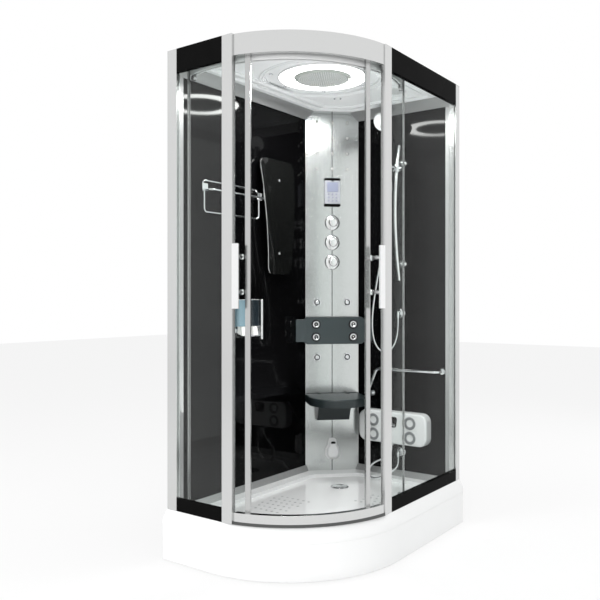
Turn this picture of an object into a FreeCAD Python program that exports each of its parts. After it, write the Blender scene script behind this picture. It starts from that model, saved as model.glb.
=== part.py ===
import FreeCAD
import Part
import math
import os

# Steam shower cabin: a tray with one rounded corner, glass on two sides, two curved
# sliding doors, two dark wall panels and a steel equipment column across the back corner.
# Millimetres. +X is the short side, +Y runs away from the front, +Z is up, and the origin
# is on the floor under the middle of the tray.

# Cabin
WIDTH = 800.0
LENGTH = 1200.0
HEIGHT = 2100.0
CORNER_R = 550.0

# Tray
TRAY_TOP = 210.0
SKIRT_DROP = 62.0
FLARE_DROP = 42.0
LEDGE_DROP = 28.0
BASIN_DROP = 45.0
RIM_INSET = 13.0
RIM_INNER_INSET = 60.0
BASIN_INSET = 95.0
BASIN_CORNER_R = 70.0
BASIN_CHAMFER = 172.0
TRAY_WALL = 6.0
SHOULDER_LAP = 4.0
SHOULDER_SPARE = 0.5
APRON_WALL = 4.0
APRON_LIFT = 5.0
APRON_LIP = 14.0

# Feet and frame under the tray
TUBE = 25.0
SIDE_TUBE_INSET = 150.0
FRONT_TUBE_INSET = 120.0
BACK_TUBE_INSET = 130.0
FRONT_TUBE_REACH = 210.0
RIGHT_TUBE_REACH = 280.0
CORNER_TUBE_RUN = 120.0
FOOT_R = 22.0
FOOT_PAD_H = 12.0
FOOT_STUD_R = 6.0
FOOT_NUT_R = 11.0
FOOT_NUT_H = 9.0

# Drain
DRAIN_X = -95.0
DRAIN_Y = 268.0
DRAIN_HOLE_R = 30.0
DRAIN_COVER_R = 44.0
DRAIN_COVER_H = 6.0
TRAP_R = 38.0
TRAP_BOTTOM_Z = 80.0
TRAP_FLANGE_H = 4.0
TRAP_BORE_R = 24.0
SPIGOT_R = 20.0
SPIGOT_WALL = 3.0
SPIGOT_LENGTH = 60.0
SPIGOT_Z = 104.0
SPIGOT_COLLAR_R = 24.0
SPIGOT_COLLAR_L = 8.0

# Outer frame
FRAME_INSET = 14.0
FRAME_DEPTH = 22.0
LEFT_POST_W = 53.0
RIGHT_POST_W = 40.0
DOOR_POST_W = 52.0
LEFT_DOOR_POST_SHIFT = 64.0
RIGHT_DOOR_POST_SHIFT = 82.0
POST_LEG_W = 25.0
POST_WALL = 2.5
TOP_FASCIA_H = 97.0
BOTTOM_FASCIA_H = 52.0
PANE_T = 6.0
PANE_RECESS = 7.0
PANE_GROOVE = 8.0
TOP_RAIL_H = 83.0
BOTTOM_RAIL_H = 43.0
RAIL_WALL = 4.0
RAIL_TRIM_ANGLE = 2.0

# Walls
WALL_INSET = 25.0
WALL_GLASS_T = 6.0
WALL_FRAME_BACK = 3.0
WALL_STILE_W = 36.0
BACK_STILE_W = 23.0
WALL_GLASS_LIFT = 2.0
WALL_FRAME_PROUD = 3.0
SILL_PROUD = 8.0
COVE_W = 27.0
COVE_H = 47.0
COVE_LIP = 5.0

# Column
COLUMN_W = 281.0
COLUMN_SHEET = 3.0
COLUMN_FLANGE = 18.0
SEAM_GAP = 0.8

# Roof
ROOF_DROP = 45.0
ROOF_SHEET = 4.0
ROOF_WALL_H = 38.0
ROOF_CENTRE_X = 0.0
ROOF_CENTRE_Y = -15.0
DOME_R = 255.0
DOME_RISE = 12.0
LIGHT_OUTER_R = 197.0
LIGHT_INNER_R = 126.0
LIGHT_T = 9.0
RAIN_R = 122.5
RAIN_T = 14.0
RAIN_STEM_R = 10.0
RAIN_STEM_H = 18.0
SPOT_R = 6.0
SPOT_CIRCLE_R = 232.0
SPOT_COUNT = 7
FAN_X = 170.0
FAN_Y = 335.0
FAN_R = 57.0
FAN_BODY_R = 47.0
FAN_BODY_H = 32.0
FAN_GRILLE_T = 4.0
FAN_SLOT_W = 5.0
FAN_SLOT_PITCH = 11.0
FAN_SLOT_COUNT = 7

# Sliding doors. Angles are measured about the centre of the rounded corner.
DOOR_FRAME_GAP = 4.0
DOOR_GLASS_T = 5.0
DOOR_END_GAP = 54.8
DOOR_LIFT = 8.0
DOOR_HEADROOM = 25.0
MEETING_ANGLE = -45.0
MEETING_GAP = 0.1
LEFT_OPENING = 25.8
RIGHT_OPENING = 27.4
LEAD_STRIP_W = 22.0
TRAIL_STRIP_W = 9.0
STRIP_WALL = 2.5
LEAD_HANGER_ANGLE = 1.6
TRAIL_HANGER_INSET = 3.6
HANGER_W = 20.0
HANGER_T = 3.0
HANGER_BOSS_R = 11.0
HANGER_BOSS_DROP = 15.0
ROLLER_R = 12.0
ROLLER_W = 3.8
AXLE_R = 3.0
AXLE_GAP = 0.3
RUN_GAP = 0.3
GUIDE_PIN_R = 3.0
GUIDE_W = 24.0
GUIDE_H = 16.0
GUIDE_LIFT = 2.0
TRACK_GLASS_GAP = 3.2
TRACK_W = 19.8
TRACK_SHEET = 2.5
TRACK_H = 55.0
TRACK_SLOT_INSET = 7.5
TRACK_SLOT_W = 7.0
LEFT_TRACK_SPARE = 3.0
RIGHT_TRACK_SPARE = 1.9
BOTTOM_TRACK_H = 14.0
BOTTOM_TRACK_FLOOR = 4.0
HANDLE_ANGLE = 4.65
HANDLE_Z = 1040.0
HANDLE_L = 249.0
HANDLE_W = 28.0
HANDLE_T = 12.0
HANDLE_STANDOFF = 42.0
HANDLE_STANDOFF_R = 8.0
HANDLE_KNOB_R = 11.0
HANDLE_KNOB_T = 12.0
HANDLE_SCREW_INSET = 64.0
HANDLE_SCREW_SPACING = 137.0

# Column equipment, from the bottom up
STEAM_Z = 296.0
STEAM_W = 77.0
STEAM_H = 112.0
STEAM_D = 34.0
STEAM_SLOT_W = 44.0
STEAM_SLOT_H = 12.0
STEAM_SLOT_Z = 322.0
SEAT_TOP = 585.0
SEAT_T = 40.0
SEAT_W = 290.0
SEAT_GAP = 12.0
SEAT_REACH = 265.0
SEAT_AXIS_D = 32.0
SEAT_AXIS_Z = 570.0
SEAT_EAR_W = 20.0
SEAT_EAR_R = 13.0
SEAT_EAR_SPACING = 150.0
SEAT_PIN_R = 4.0
SEAT_PIN_L = 12.0
SEAT_BLOCK_W = 170.0
SEAT_BLOCK_H = 96.0
SEAT_BLOCK_TOP_D = 85.0
SEAT_BLOCK_FOOT_D = 30.0
SEAT_BLOCK_WALL = 8.0
BODY_JET_S = 80.0
BODY_JET_Z = (772.0, 1058.0)
BODY_JET_R = 21.5
BELT_Z = 844.0
BELT_H = 139.0
BELT_W = 287.0
BELT_D = 66.0
BELT_T = 20.0
BELT_WING = 52.0
BELT_WING_DROP = 5.0
BELT_WING_INSET = 12.0
BELT_WING_RUN = 14.0
BELT_WING_LAP = 20.0
BELT_STAY_LIFT = 30.0
BELT_STAY_W = 120.0
BELT_STAY_H = 70.0
BELT_JET_S = 97.0
BELT_JET_Z = (881.0, 946.0)
BELT_JET_R = 22.0
JET_T = 6.0
NOZZLE_R = 9.0
NOZZLE_T = 5.0
NEEDLE_S = (-81.0, 0.0, 81.0)
NEEDLE_ROWS = 4
NEEDLE_LIFT = 49.0
NEEDLE_DROP = 57.0
NEEDLE_R = 6.0
NEEDLE_T = 5.0
KNOB_Z = (1268.0, 1370.0, 1473.0)
KNOB_NAMES = ("knob_lower", "knob_middle", "knob_upper")
KNOB_R = 24.0
KNOB_L = 30.0
KNOB_GRIP_COUNT = 8
KNOB_GRIP_R = 4.0
ROSETTE_R = 39.5
ROSETTE_T = 9.0
STEM_R = 6.0
STEM_L = 6.0
VALVE_W = 44.0
VALVE_D = 40.0
VALVE_END = 30.0
INLET_R = 10.5
INLET_L = 18.0
INLET_NUT_R = 14.0
INLET_S = 45.0
INLET_ARM_R = 9.0
PANEL_Z = 1558.0
PANEL_W = 85.0
PANEL_H = 148.0
PANEL_T = 13.0
PANEL_CAP_H = 13.0
GENERATOR_Z = 420.0
GENERATOR_W = 110.0
GENERATOR_D = 76.0
GENERATOR_H = 300.0

# Left wall equipment: s is the world Y of a point on that wall
RACK_LEFT_S = -400.0
RACK_RIGHT_S = -34.0
RACK_Z = 1558.0
RACK_BLOCK = 34.0
RACK_BLOCK_D = 28.0
RACK_ROD = 9.0
RACK_SHELF_D = 62.0
RACK_SHELF_Z = 1547.0
RACK_TOP_Z = 1590.0
RACK_TOP_D = 12.0
RACK_BAR_Z = 1453.0
RACK_BAR_D = 22.0
RACK_BEND_R = 18.0
MIRROR_TOP = 1750.0
MIRROR_BOTTOM = 1197.0
MIRROR_TOP_S = (-34.0, 227.0)
MIRROR_BOTTOM_S = (35.0, 204.0)
MIRROR_CORNER_R = 38.0
MIRROR_T = 6.0
MIRROR_END_D = 26.0
MIRROR_BOW = 16.0
MIRROR_SCREW_S = 100.0
MIRROR_SCREW_Z = (1297.0, 1650.0)
MIRROR_POST_R = 15.0
MIRROR_CAP_R = 7.0
MIRROR_CAP_T = 3.0
MIRROR_SPARE = 30.0
SOAP_S = (-174.0, -94.0)
SOAP_TANK_W = 76.0
SOAP_TANK_Z = 952.0
SOAP_TANK_H = 120.0
SOAP_TANK_D = 44.0
SOAP_PLATE_T = 8.0
SOAP_PLATE_Z = 900.0
SOAP_END_W = 14.0
SOAP_LEVER_W = 32.0
SOAP_LEVER_H = 42.0
SOAP_LEVER_D = 30.0
SOAP_LEVER_START = 26.0

# Back wall equipment: s is the world X of a point on that wall
RISER_S = 90.0
RISER_TOP_DROP = 215.0
RISER_L = 670.0
RISER_END_D = 35.0
RISER_BOW = 50.0
RISER_ROD = 20.0
RISER_BRACKET = 253.0
RISER_BRACKET_R = 9.0
RISER_ROSE_R = 20.0
RISER_ROSE_T = 6.0
SLIDER_DROP = 335.0
SLIDER_R = 18.0
SLIDER_H = 36.0
SLIDER_KNOB_R = 11.0
SLIDER_KNOB_L = 16.0
PIVOT_D = 98.0
PIVOT_R = 12.0
PIVOT_W = 14.0
CLIP_S = 62.0
CLIP_R = 18.0
CLIP_H = 30.0
HANDSET_LEAN = (-32.0, -4.0, 213.0)
HANDSET_GRIP_L = 216.0
HANDSET_TAIL_L = 40.0
HANDSET_TAIL_R = 10.0
HANDSET_NECK_R = 14.0
HANDSET_HEAD_R = 51.5
HANDSET_HEAD_T = 22.0
HANDSET_FACE = (-0.1, -0.85, -0.52)
GRAB_Z = 722.0
GRAB_D = 50.0
GRAB_ROD = 14.0
GRAB_END_INSET = 40.0
GRAB_BEND_S = -35.0
GRAB_LEFT_S = -90.0
GRAB_LEFT_Z = 590.0
GRAB_BEND_R = 24.0
GRAB_ROSE_R = 17.0
GRAB_ROSE_T = 6.0
MASSAGER_SHARE = 0.32
MASSAGER_W = 380.0
MASSAGER_Z = 350.0
MASSAGER_H = 160.0
MASSAGER_D = 55.0
MASSAGER_CORNER_R = 42.0
MASSAGER_HOLE_W = 60.0
MASSAGER_HOLE_TAPER = 8.0
MASSAGER_HOLE_H = 40.0
MASSAGER_HOLE_Z = 440.0
RING_S = 102.0
RING_Z = (390.0, 462.0)
RING_R = 31.5
RING_BORE_R = 18.0
RING_T = 4.0
ELBOW_ROSE_R = 24.0
ELBOW_ROSE_T = 7.0
ELBOW_R = 10.0
ELBOW_D = 30.0
ELBOW_DROP = 22.0
ELBOW_S = (78.0, 80.0)
UPPER_ELBOW_DROP = 166.0
LOWER_ELBOW_Z = 306.0
NUT_R = 9.0
NUT_L = 12.0
NUT_OFFSET = 12.0
HOSE = 11.0
HOSE_END_RUN = 45.0
HOSE_RISE = 32.0
# Each hose's bends, from its elbow's outlet: along the wall, out from the wall, and up.
SHOWER_HOSE_RUN = (
    (0, 0, -47),
    (-2, 9, -97),
    (-18, 19, -147),
    (-53, 29, -176),
    (-92, 37, -164),
    (-116, 42, -120),
    (-125, 45, -62),
    (-124, 47, -2),
    (-116, 49, 63),
    (-103, 51, 133),
    (-88, 53, 208),
    (-70, 56, 286),
    (-50, 58, 366),
    (-32, 61, 446),
    (-18, 63, 526),
    (-9, 64, 603),
)
MASSAGER_HOSE_RUN = (
    (0, 0, -26),
    (-4, 8, -48),
    (-20, 24, -67),
    (-44, 41, -84),
    (-74, 55, -103),
    (-108, 61, -112),
    (-138, 56, -105),
    (-152, 43, -80),
    (-142, 30, -52),
    (-118, 18, -32),
    (-86, 7, -18),
    (-56, -1, -4),
)

# Everything below is worked out from the sizes above.
HALF_X = WIDTH / 2
HALF_Y = LENGTH / 2
ARC_X = HALF_X - CORNER_R
ARC_Y = CORNER_R - HALF_Y
TRAY_SKIRT_Z = TRAY_TOP - SKIRT_DROP
TRAY_FLARE_Z = TRAY_TOP - FLARE_DROP
LEDGE_Z = TRAY_TOP - LEDGE_DROP
BASIN_Z = TRAY_TOP - BASIN_DROP
CEILING_Z = HEIGHT - ROOF_DROP
FRAME_R = CORNER_R - FRAME_INSET
FRAME_INNER_R = FRAME_R - FRAME_DEPTH
FRONT_FACE = FRAME_INSET - HALF_Y
RIGHT_FACE = HALF_X - FRAME_INSET
LEFT_FACE = WALL_INSET - HALF_X
BACK_FACE = HALF_Y - WALL_INSET
RIM_FRONT = RIM_INNER_INSET - HALF_Y
RIM_RIGHT = HALF_X - RIM_INNER_INSET
LEFT_DOOR_POST_X = ARC_X + LEFT_DOOR_POST_SHIFT
RIGHT_DOOR_POST_Y = ARC_Y - RIGHT_DOOR_POST_SHIFT
WALL_GLASS_Z = TRAY_TOP + WALL_GLASS_LIFT
WALL_GLASS_TOP = CEILING_Z - COVE_H
DIAGONAL = COLUMN_W / math.sqrt(2)
COLUMN_X = LEFT_FACE + DIAGONAL / 2
COLUMN_Y = BACK_FACE - DIAGONAL / 2
LONG_TUBE_X = HALF_X - SIDE_TUBE_INSET
FRONT_TUBE_Y = FRONT_TUBE_INSET - HALF_Y
BACK_TUBE_Y = HALF_Y - BACK_TUBE_INSET
FRONT_TUBE_END_X = ARC_X + FRONT_TUBE_REACH
RIGHT_TUBE_START_Y = ARC_Y - RIGHT_TUBE_REACH
LEFT_TUBE_END_Y = BACK_TUBE_Y - CORNER_TUBE_RUN
BACK_TUBE_START_X = CORNER_TUBE_RUN - LONG_TUBE_X
DOOR_OUTER_R = FRAME_INNER_R - DOOR_FRAME_GAP
DOOR_GLASS_R = DOOR_OUTER_R - DOOR_GLASS_T
DOOR_BOTTOM_Z = TRAY_TOP + DOOR_LIFT
DOOR_TOP_Z = CEILING_Z - DOOR_HEADROOM
LEFT_LEAD = MEETING_ANGLE - MEETING_GAP - LEFT_OPENING
RIGHT_LEAD = MEETING_ANGLE + MEETING_GAP + RIGHT_OPENING
LEFT_TRAIL = -math.degrees(math.acos((LEFT_FACE + DOOR_END_GAP - ARC_X) / DOOR_OUTER_R))
DOOR_ARC = LEFT_LEAD - LEFT_TRAIL
TRAIL_HANGER_ANGLE = DOOR_ARC - TRAIL_HANGER_INSET
TRACK_OUTER_R = DOOR_GLASS_R - TRACK_GLASS_GAP
TRACK_INNER_R = TRACK_OUTER_R - TRACK_W
TRACK_SLOT_INNER_R = TRACK_INNER_R + TRACK_SLOT_INSET
TRACK_START = LEFT_TRAIL - LEFT_TRACK_SPARE
TRACK_END = RIGHT_LEAD + DOOR_ARC + RIGHT_TRACK_SPARE
TRACK_Z = CEILING_Z - TRACK_H
SHOULDER_R = TRACK_INNER_R - SHOULDER_LAP
HANGER_BOSS_Z = TRACK_Z - HANGER_BOSS_DROP
STEM_PLATE_R = TRACK_SLOT_INNER_R + (TRACK_SLOT_W - HANGER_T) / 2
ROLLER_START_R = STEM_PLATE_R + HANGER_T + RUN_GAP
ROLLER_Z = TRACK_Z + TRACK_SHEET + RUN_GAP + ROLLER_R
NEEDLE_LOW_Z = PANEL_Z + PANEL_H + NEEDLE_LIFT
NEEDLE_PITCH = (CEILING_Z - NEEDLE_DROP - NEEDLE_LOW_Z) / (NEEDLE_ROWS - 1)
RISER_TOP_Z = CEILING_Z - RISER_TOP_DROP
RISER_FOOT_Z = RISER_TOP_Z - RISER_L
RISER_MID_Z = RISER_TOP_Z - RISER_L / 2
RISER_R = (RISER_L**2 / 4 + RISER_BOW**2) / (2 * RISER_BOW)
RISER_CENTRE_D = RISER_END_D + RISER_BOW - RISER_R
SLIDER_Z = CEILING_Z - SLIDER_DROP
GRAB_RIGHT_S = RIM_RIGHT - GRAB_END_INSET
BACK_SPAN_START = LEFT_FACE + DIAGONAL
BACK_SPAN = RIM_RIGHT - BACK_STILE_W - BACK_SPAN_START
MASSAGER_S = BACK_SPAN_START + MASSAGER_W / 2 + MASSAGER_SHARE * (BACK_SPAN - MASSAGER_W)
ELBOW_Z = (RISER_FOOT_Z - UPPER_ELBOW_DROP, LOWER_ELBOW_Z)
MIRROR_MID_Z = (MIRROR_TOP + MIRROR_BOTTOM) / 2
MIRROR_BACK_R = ((MIRROR_TOP - MIRROR_BOTTOM) ** 2 / 4 + MIRROR_BOW**2) / (2 * MIRROR_BOW)
MIRROR_CENTRE_D = MIRROR_END_D + MIRROR_BOW - MIRROR_BACK_R


def vec(x, y, z):
    return FreeCAD.Vector(x, y, z)


# Basic forms


def outline(points, radius=0.0, z=0.0):
    # A closed wire through the points, with a tangent arc at each corner.
    radii = radius if isinstance(radius, list) else [radius] * len(points)
    corners = []
    for i, point in enumerate(points):
        here = vec(point[0], point[1], z)
        before = vec(points[i - 1][0], points[i - 1][1], z)
        following = points[(i + 1) % len(points)]
        after = vec(following[0], following[1], z)
        if radii[i] <= 0:
            corners.append((here, None, here))
            continue
        back = (before - here).normalize()
        ahead = (after - here).normalize()
        half = back.getAngle(ahead) / 2
        reach = radii[i] / math.tan(half)
        middle = here + (back + ahead).normalize() * (radii[i] / math.sin(half) - radii[i])
        corners.append((here + back * reach, middle, here + ahead * reach))
    edges = []
    for i, (start, middle, end) in enumerate(corners):
        if middle:
            edges.append(Part.Arc(start, middle, end).toShape())
        following = corners[(i + 1) % len(corners)][0]
        if end.distanceToPoint(following) > 1e-6:
            edges.append(Part.LineSegment(end, following).toShape())
    return Part.Wire(edges)


def plate(points, radius, z0, z1):
    return Part.Face(outline(points, radius, z0)).extrude(vec(0, 0, z1 - z0))


def box(x0, x1, y0, y1, z0, z1):
    return Part.makeBox(x1 - x0, y1 - y0, z1 - z0, vec(x0, y0, z0))


def rod(radius, start, end):
    return Part.makeCylinder(radius, start.distanceToPoint(end), start, end - start)


def turned(points, start, direction):
    # A solid of revolution: each point is a radius and a distance along the direction.
    face = Part.Face(Part.makePolygon([vec(r, 0, h) for r, h in points + points[:1]]))
    solid = face.revolve(vec(0, 0, 0), vec(0, 0, 1), 360)
    turn = FreeCAD.Rotation(vec(0, 0, 1), direction)
    solid.Placement = FreeCAD.Placement(start, turn)
    return solid


def pipe(path, diameter):
    # A round bar or hose along a wire.
    first = path.OrderedEdges[0]
    start = first.valueAt(first.FirstParameter)
    ahead = first.tangentAt(first.FirstParameter)
    if start.distanceToPoint(path.OrderedVertexes[0].Point) > 1e-6:
        start = first.valueAt(first.LastParameter)
        ahead = first.tangentAt(first.LastParameter) * -1
    circle = Part.Wire([Part.makeCircle(diameter / 2, start, ahead)])
    return path.makePipeShell([circle], True, False)


def bent_path(points, radii):
    # Straight runs joined by tangent arcs, one radius for each inner point.
    edges = []
    start = points[0]
    for i in range(1, len(points) - 1):
        back = (points[i - 1] - points[i]).normalize()
        ahead = (points[i + 1] - points[i]).normalize()
        half = back.getAngle(ahead) / 2
        reach = radii[i - 1] / math.tan(half)
        middle = points[i] + (back + ahead).normalize() * (radii[i - 1] / math.sin(half) - radii[i - 1])
        entry = points[i] + back * reach
        leave = points[i] + ahead * reach
        edges.append(Part.LineSegment(start, entry).toShape())
        edges.append(Part.Arc(entry, middle, leave).toShape())
        start = leave
    edges.append(Part.LineSegment(start, points[-1]).toShape())
    return Part.Wire(edges)


def bar(points, diameter, bend):
    return pipe(bent_path(points, [bend] * (len(points) - 2)), diameter)


def hose(name, points):
    # A free hose: each arc is as large as the two runs beside it allow.
    radii = []
    for i in range(1, len(points) - 1):
        back = points[i - 1] - points[i]
        ahead = points[i + 1] - points[i]
        half_turn = (math.pi - back.getAngle(ahead)) / 2
        radii.append(0.45 * min(back.Length, ahead.Length) / math.tan(half_turn))
    path = bent_path(points, radii)
    solid = pipe(path, HOSE)
    section = math.pi * HOSE**2 / 4
    print(name, "radii", [round(r) for r in radii])
    ratio = solid.Volume / (section * path.Length)
    print(name, "length", round(path.Length), "volume ratio", round(ratio, 4))
    return solid


# Places


def at_angle(shape, angle):
    # Turns a shape made along +X from the arc's centre to its angle round the corner.
    moved = shape.copy()
    moved.Placement = FreeCAD.Placement(vec(ARC_X, ARC_Y, 0), FreeCAD.Rotation(vec(0, 0, 1), angle)).multiply(
        moved.Placement
    )
    return moved


def sector(points, start, end):
    # A curved bar: each point is a radius and a height, swept between two angles.
    face = Part.Face(Part.makePolygon([vec(r, 0, z) for r, z in points + points[:1]]))
    return at_angle(face.revolve(vec(0, 0, 0), vec(0, 0, 1), end - start), start)


def on_wall(shape, wall):
    # Puts a shape on a wall. It is made with the wall's face at y = 0 and the room at -y.
    places = {
        "left": (vec(LEFT_FACE, 0, 0), 90),
        "column": (vec(COLUMN_X, COLUMN_Y, 0), 45),
        "back": (vec(0, BACK_FACE, 0), 0),
    }
    origin, angle = places[wall]
    moved = shape.copy()
    moved.Placement = FreeCAD.Placement(origin, FreeCAD.Rotation(vec(0, 0, 1), angle)).multiply(moved.Placement)
    return moved


def slab(s0, s1, d0, d1, z0, z1):
    return box(s0, s1, -d1, -d0, z0, z1)


def stud(radius, s, z, d0, d1):
    return rod(radius, vec(s, -d0, z), vec(s, -d1, z))


def disc(points, s, z):
    # A turned piece that stands out of a wall: radius and distance from the wall.
    return turned(points, vec(s, 0, z), vec(0, -1, 0))


def face_plate(points, radius, d0, d1):
    # An outline of s and z, as thick as the space between two distances from the wall.
    flat = Part.Face(outline(points, radius)).extrude(vec(0, 0, d1 - d0))
    flat.Placement = FreeCAD.Placement(vec(0, -d0, 0), FreeCAD.Rotation(vec(1, 0, 0), 90))
    return flat


def side_profile(points, radius, s0, s1):
    # An outline of distance from the wall and z, as long as the space between s0 and s1.
    flat = Part.Face(outline([(-d, z) for d, z in points], radius)).extrude(vec(0, 0, s1 - s0))
    flat.Placement = FreeCAD.Placement(vec(s0, 0, 0), FreeCAD.Rotation(vec(1, 1, 1), 120))
    return flat


def fuse(shapes):
    return shapes[0].fuse(shapes[1:]).removeSplitter()


def group(shapes):
    return Part.makeCompound(shapes)


# Tray


def plan_wire(inset, z):
    # The cabin's plan, drawn in from every edge by the same inset.
    left = inset - HALF_X
    right = HALF_X - inset
    front = inset - HALF_Y
    back = HALF_Y - inset
    corners = [(left, front), (right, front), (right, back), (left, back)]
    return outline(corners, [0, CORNER_R - inset, 0, 0], z)


def plan(inset, z0, z1):
    return Part.Face(plan_wire(inset, z0)).extrude(vec(0, 0, z1 - z0))


def room_plan(grow, z0, z1):
    # The room inside the rim: open to both walls, with a shoulder left under the door tracks.
    front = RIM_FRONT - grow
    right = RIM_RIGHT + grow
    far = LENGTH
    radius = CORNER_R - RIM_INNER_INSET + grow
    room = plate([(-far, front), (right, front), (right, far), (-far, far)], [0, radius, 0, 0], z0, z1)
    inner = SHOULDER_R + grow
    shoulder = [(inner, z0), (CORNER_R, z0), (CORNER_R, z1), (inner, z1)]
    return room.cut(sector(shoulder, TRACK_START - SHOULDER_SPARE, TRACK_END + SHOULDER_SPARE))


def basin_plan(grow, z0, z1):
    side = HALF_X - BASIN_INSET + grow
    end = HALF_Y - BASIN_INSET + grow
    cut = BASIN_CHAMFER
    points = [(-side, -end), (side, -end), (side, end), (cut - side, end), (-side, end - cut)]
    curve = CORNER_R - BASIN_INSET + grow
    return plate(points, [BASIN_CORNER_R, curve] + [BASIN_CORNER_R] * 3, z0, z1)


def flared_rim():
    return Part.makeLoft([plan_wire(0, TRAY_FLARE_Z), plan_wire(RIM_INSET, TRAY_TOP)], True, True)


def shower_tray():
    body = fuse([plan(0, TRAY_SKIRT_Z, TRAY_FLARE_Z), flared_rim()])
    body = body.cut(room_plan(0, LEDGE_Z, TRAY_TOP + 1))
    body = body.cut(basin_plan(0, BASIN_Z, TRAY_TOP))
    floor_z = BASIN_Z - TRAY_WALL
    ledge_z = LEDGE_Z - TRAY_WALL
    body = body.cut(plan(TRAY_WALL, TRAY_SKIRT_Z - 1, floor_z))
    body = body.cut(plan(2 * TRAY_WALL, floor_z, ledge_z).cut(basin_plan(TRAY_WALL, floor_z, ledge_z)))
    rim = plan(RIM_INSET + TRAY_WALL, ledge_z, TRAY_TOP - TRAY_WALL)
    body = body.cut(rim.cut(room_plan(TRAY_WALL, ledge_z, TRAY_TOP)))
    hole = rod(DRAIN_HOLE_R, vec(DRAIN_X, DRAIN_Y, 0), vec(DRAIN_X, DRAIN_Y, TRAY_TOP))
    return body.cut(hole).removeSplitter()


def tray_apron():
    # A skirt below the tray on the front, the curve and the right, with a turned-in foot.
    outer = plan(0.5, APRON_LIFT, TRAY_SKIRT_Z)
    inner = plan(0.5 + APRON_WALL, APRON_LIFT + APRON_WALL, TRAY_SKIRT_Z)
    foot = plan(0.5 + APRON_LIP, APRON_LIFT, APRON_LIFT + APRON_WALL)
    skirt = outer.cut(inner).cut(foot)
    walls = box(-WIDTH, 0.5 + APRON_LIP - HALF_X, 0.5 + APRON_WALL - HALF_Y, LENGTH, 0, TRAY_TOP)
    back = box(-WIDTH, HALF_X - 0.5 - APRON_WALL, HALF_Y - 0.5 - APRON_LIP, LENGTH, 0, TRAY_TOP)
    return skirt.cut(walls).cut(back)


# Under the tray


def foot(x, y, top):
    top = FOOT_PAD_H
    shape = [(0, 0), (FOOT_R, 0), (FOOT_R, top / 3), (FOOT_STUD_R + 3, top), (0, top)]
    pad = turned(shape, vec(x, y, 0), vec(0, 0, 1))
    stem = rod(FOOT_STUD_R, vec(x, y, FOOT_PAD_H / 2), vec(x, y, top))
    angles = [math.radians(60 * i) for i in range(6)]
    nut = [(FOOT_NUT_R * math.cos(a), FOOT_NUT_R * math.sin(a)) for a in angles]
    lock = plate([(x + a, y + b) for a, b in nut], 0, top - FOOT_NUT_H, top)
    return fuse([pad, stem, lock])


def support_frame():
    # A welded frame of square tube on levelling feet, one of them under the origin.
    top = BASIN_Z - TRAY_WALL
    low = top - TUBE
    half = TUBE / 2
    x = LONG_TUBE_X
    tubes = [
        box(-x - half, half - x, FRONT_TUBE_Y - half, LEFT_TUBE_END_Y + half, low, top),
        box(x - half, x + half, RIGHT_TUBE_START_Y - half, BACK_TUBE_Y + half, low, top),
        box(-x, FRONT_TUBE_END_X + half, FRONT_TUBE_Y - half, FRONT_TUBE_Y + half, low, top),
        box(-x, x, RIGHT_TUBE_START_Y - half, RIGHT_TUBE_START_Y + half, low, top),
        box(-x, x, -half, half, low, top),
        box(BACK_TUBE_START_X - half, x, BACK_TUBE_Y - half, BACK_TUBE_Y + half, low, top),
    ]
    corner = [
        (-x - half, LEFT_TUBE_END_Y),
        (half - x, LEFT_TUBE_END_Y),
        (BACK_TUBE_START_X, BACK_TUBE_Y - half),
        (BACK_TUBE_START_X, BACK_TUBE_Y + half),
    ]
    tubes.append(plate(corner, 0, low, top))
    places = [
        (0, 0),
        (-x, 0),
        (x, 0),
        (-x, FRONT_TUBE_Y),
        (FRONT_TUBE_END_X, FRONT_TUBE_Y),
        (x, RIGHT_TUBE_START_Y),
        (-x, LEFT_TUBE_END_Y),
        (BACK_TUBE_START_X, BACK_TUBE_Y),
        (x, BACK_TUBE_Y),
    ]
    return group([fuse(tubes)] + [foot(a, b, low) for a, b in places])


def drain_trap():
    top = BASIN_Z - TRAY_WALL
    neck = BASIN_Z - 1.0
    cup = turned(
        [
            (0, TRAP_BOTTOM_Z),
            (TRAP_R, TRAP_BOTTOM_Z),
            (TRAP_R, top - TRAP_FLANGE_H),
            (DRAIN_COVER_R, top - TRAP_FLANGE_H),
            (DRAIN_COVER_R, top),
            (DRAIN_HOLE_R, top),
            (DRAIN_HOLE_R, neck),
            (0, neck),
        ],
        vec(DRAIN_X, DRAIN_Y, 0),
        vec(0, 0, 1),
    )
    root = DRAIN_X - TRAP_R - SPIGOT_COLLAR_L
    end = root - SPIGOT_LENGTH
    collar = rod(SPIGOT_COLLAR_R, vec(DRAIN_X, DRAIN_Y, SPIGOT_Z), vec(root, DRAIN_Y, SPIGOT_Z))
    spigot = rod(SPIGOT_R, vec(DRAIN_X, DRAIN_Y, SPIGOT_Z), vec(end, DRAIN_Y, SPIGOT_Z))
    floor = TRAP_BOTTOM_Z + SPIGOT_WALL
    well = rod(TRAP_BORE_R, vec(DRAIN_X, DRAIN_Y, floor), vec(DRAIN_X, DRAIN_Y, BASIN_Z))
    bore = rod(SPIGOT_R - SPIGOT_WALL, vec(DRAIN_X, DRAIN_Y, SPIGOT_Z), vec(end - 1, DRAIN_Y, SPIGOT_Z))
    return fuse([cup, collar, spigot]).cut(well).cut(bore)


def drain_cover():
    r = DRAIN_COVER_R
    h = DRAIN_COVER_H
    plug = TRAP_BORE_R - 2.0
    edge = [(r, 0), (r, h / 2), (r - 6, h), (r - 14, h), (r - 16, h - 1)]
    shape = [(0, -h), (plug, -h), (plug, 0)] + edge + [(0, h - 1)]
    return turned(shape, vec(DRAIN_X, DRAIN_Y, BASIN_Z), vec(0, 0, 1))


# Outer frame


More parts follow.
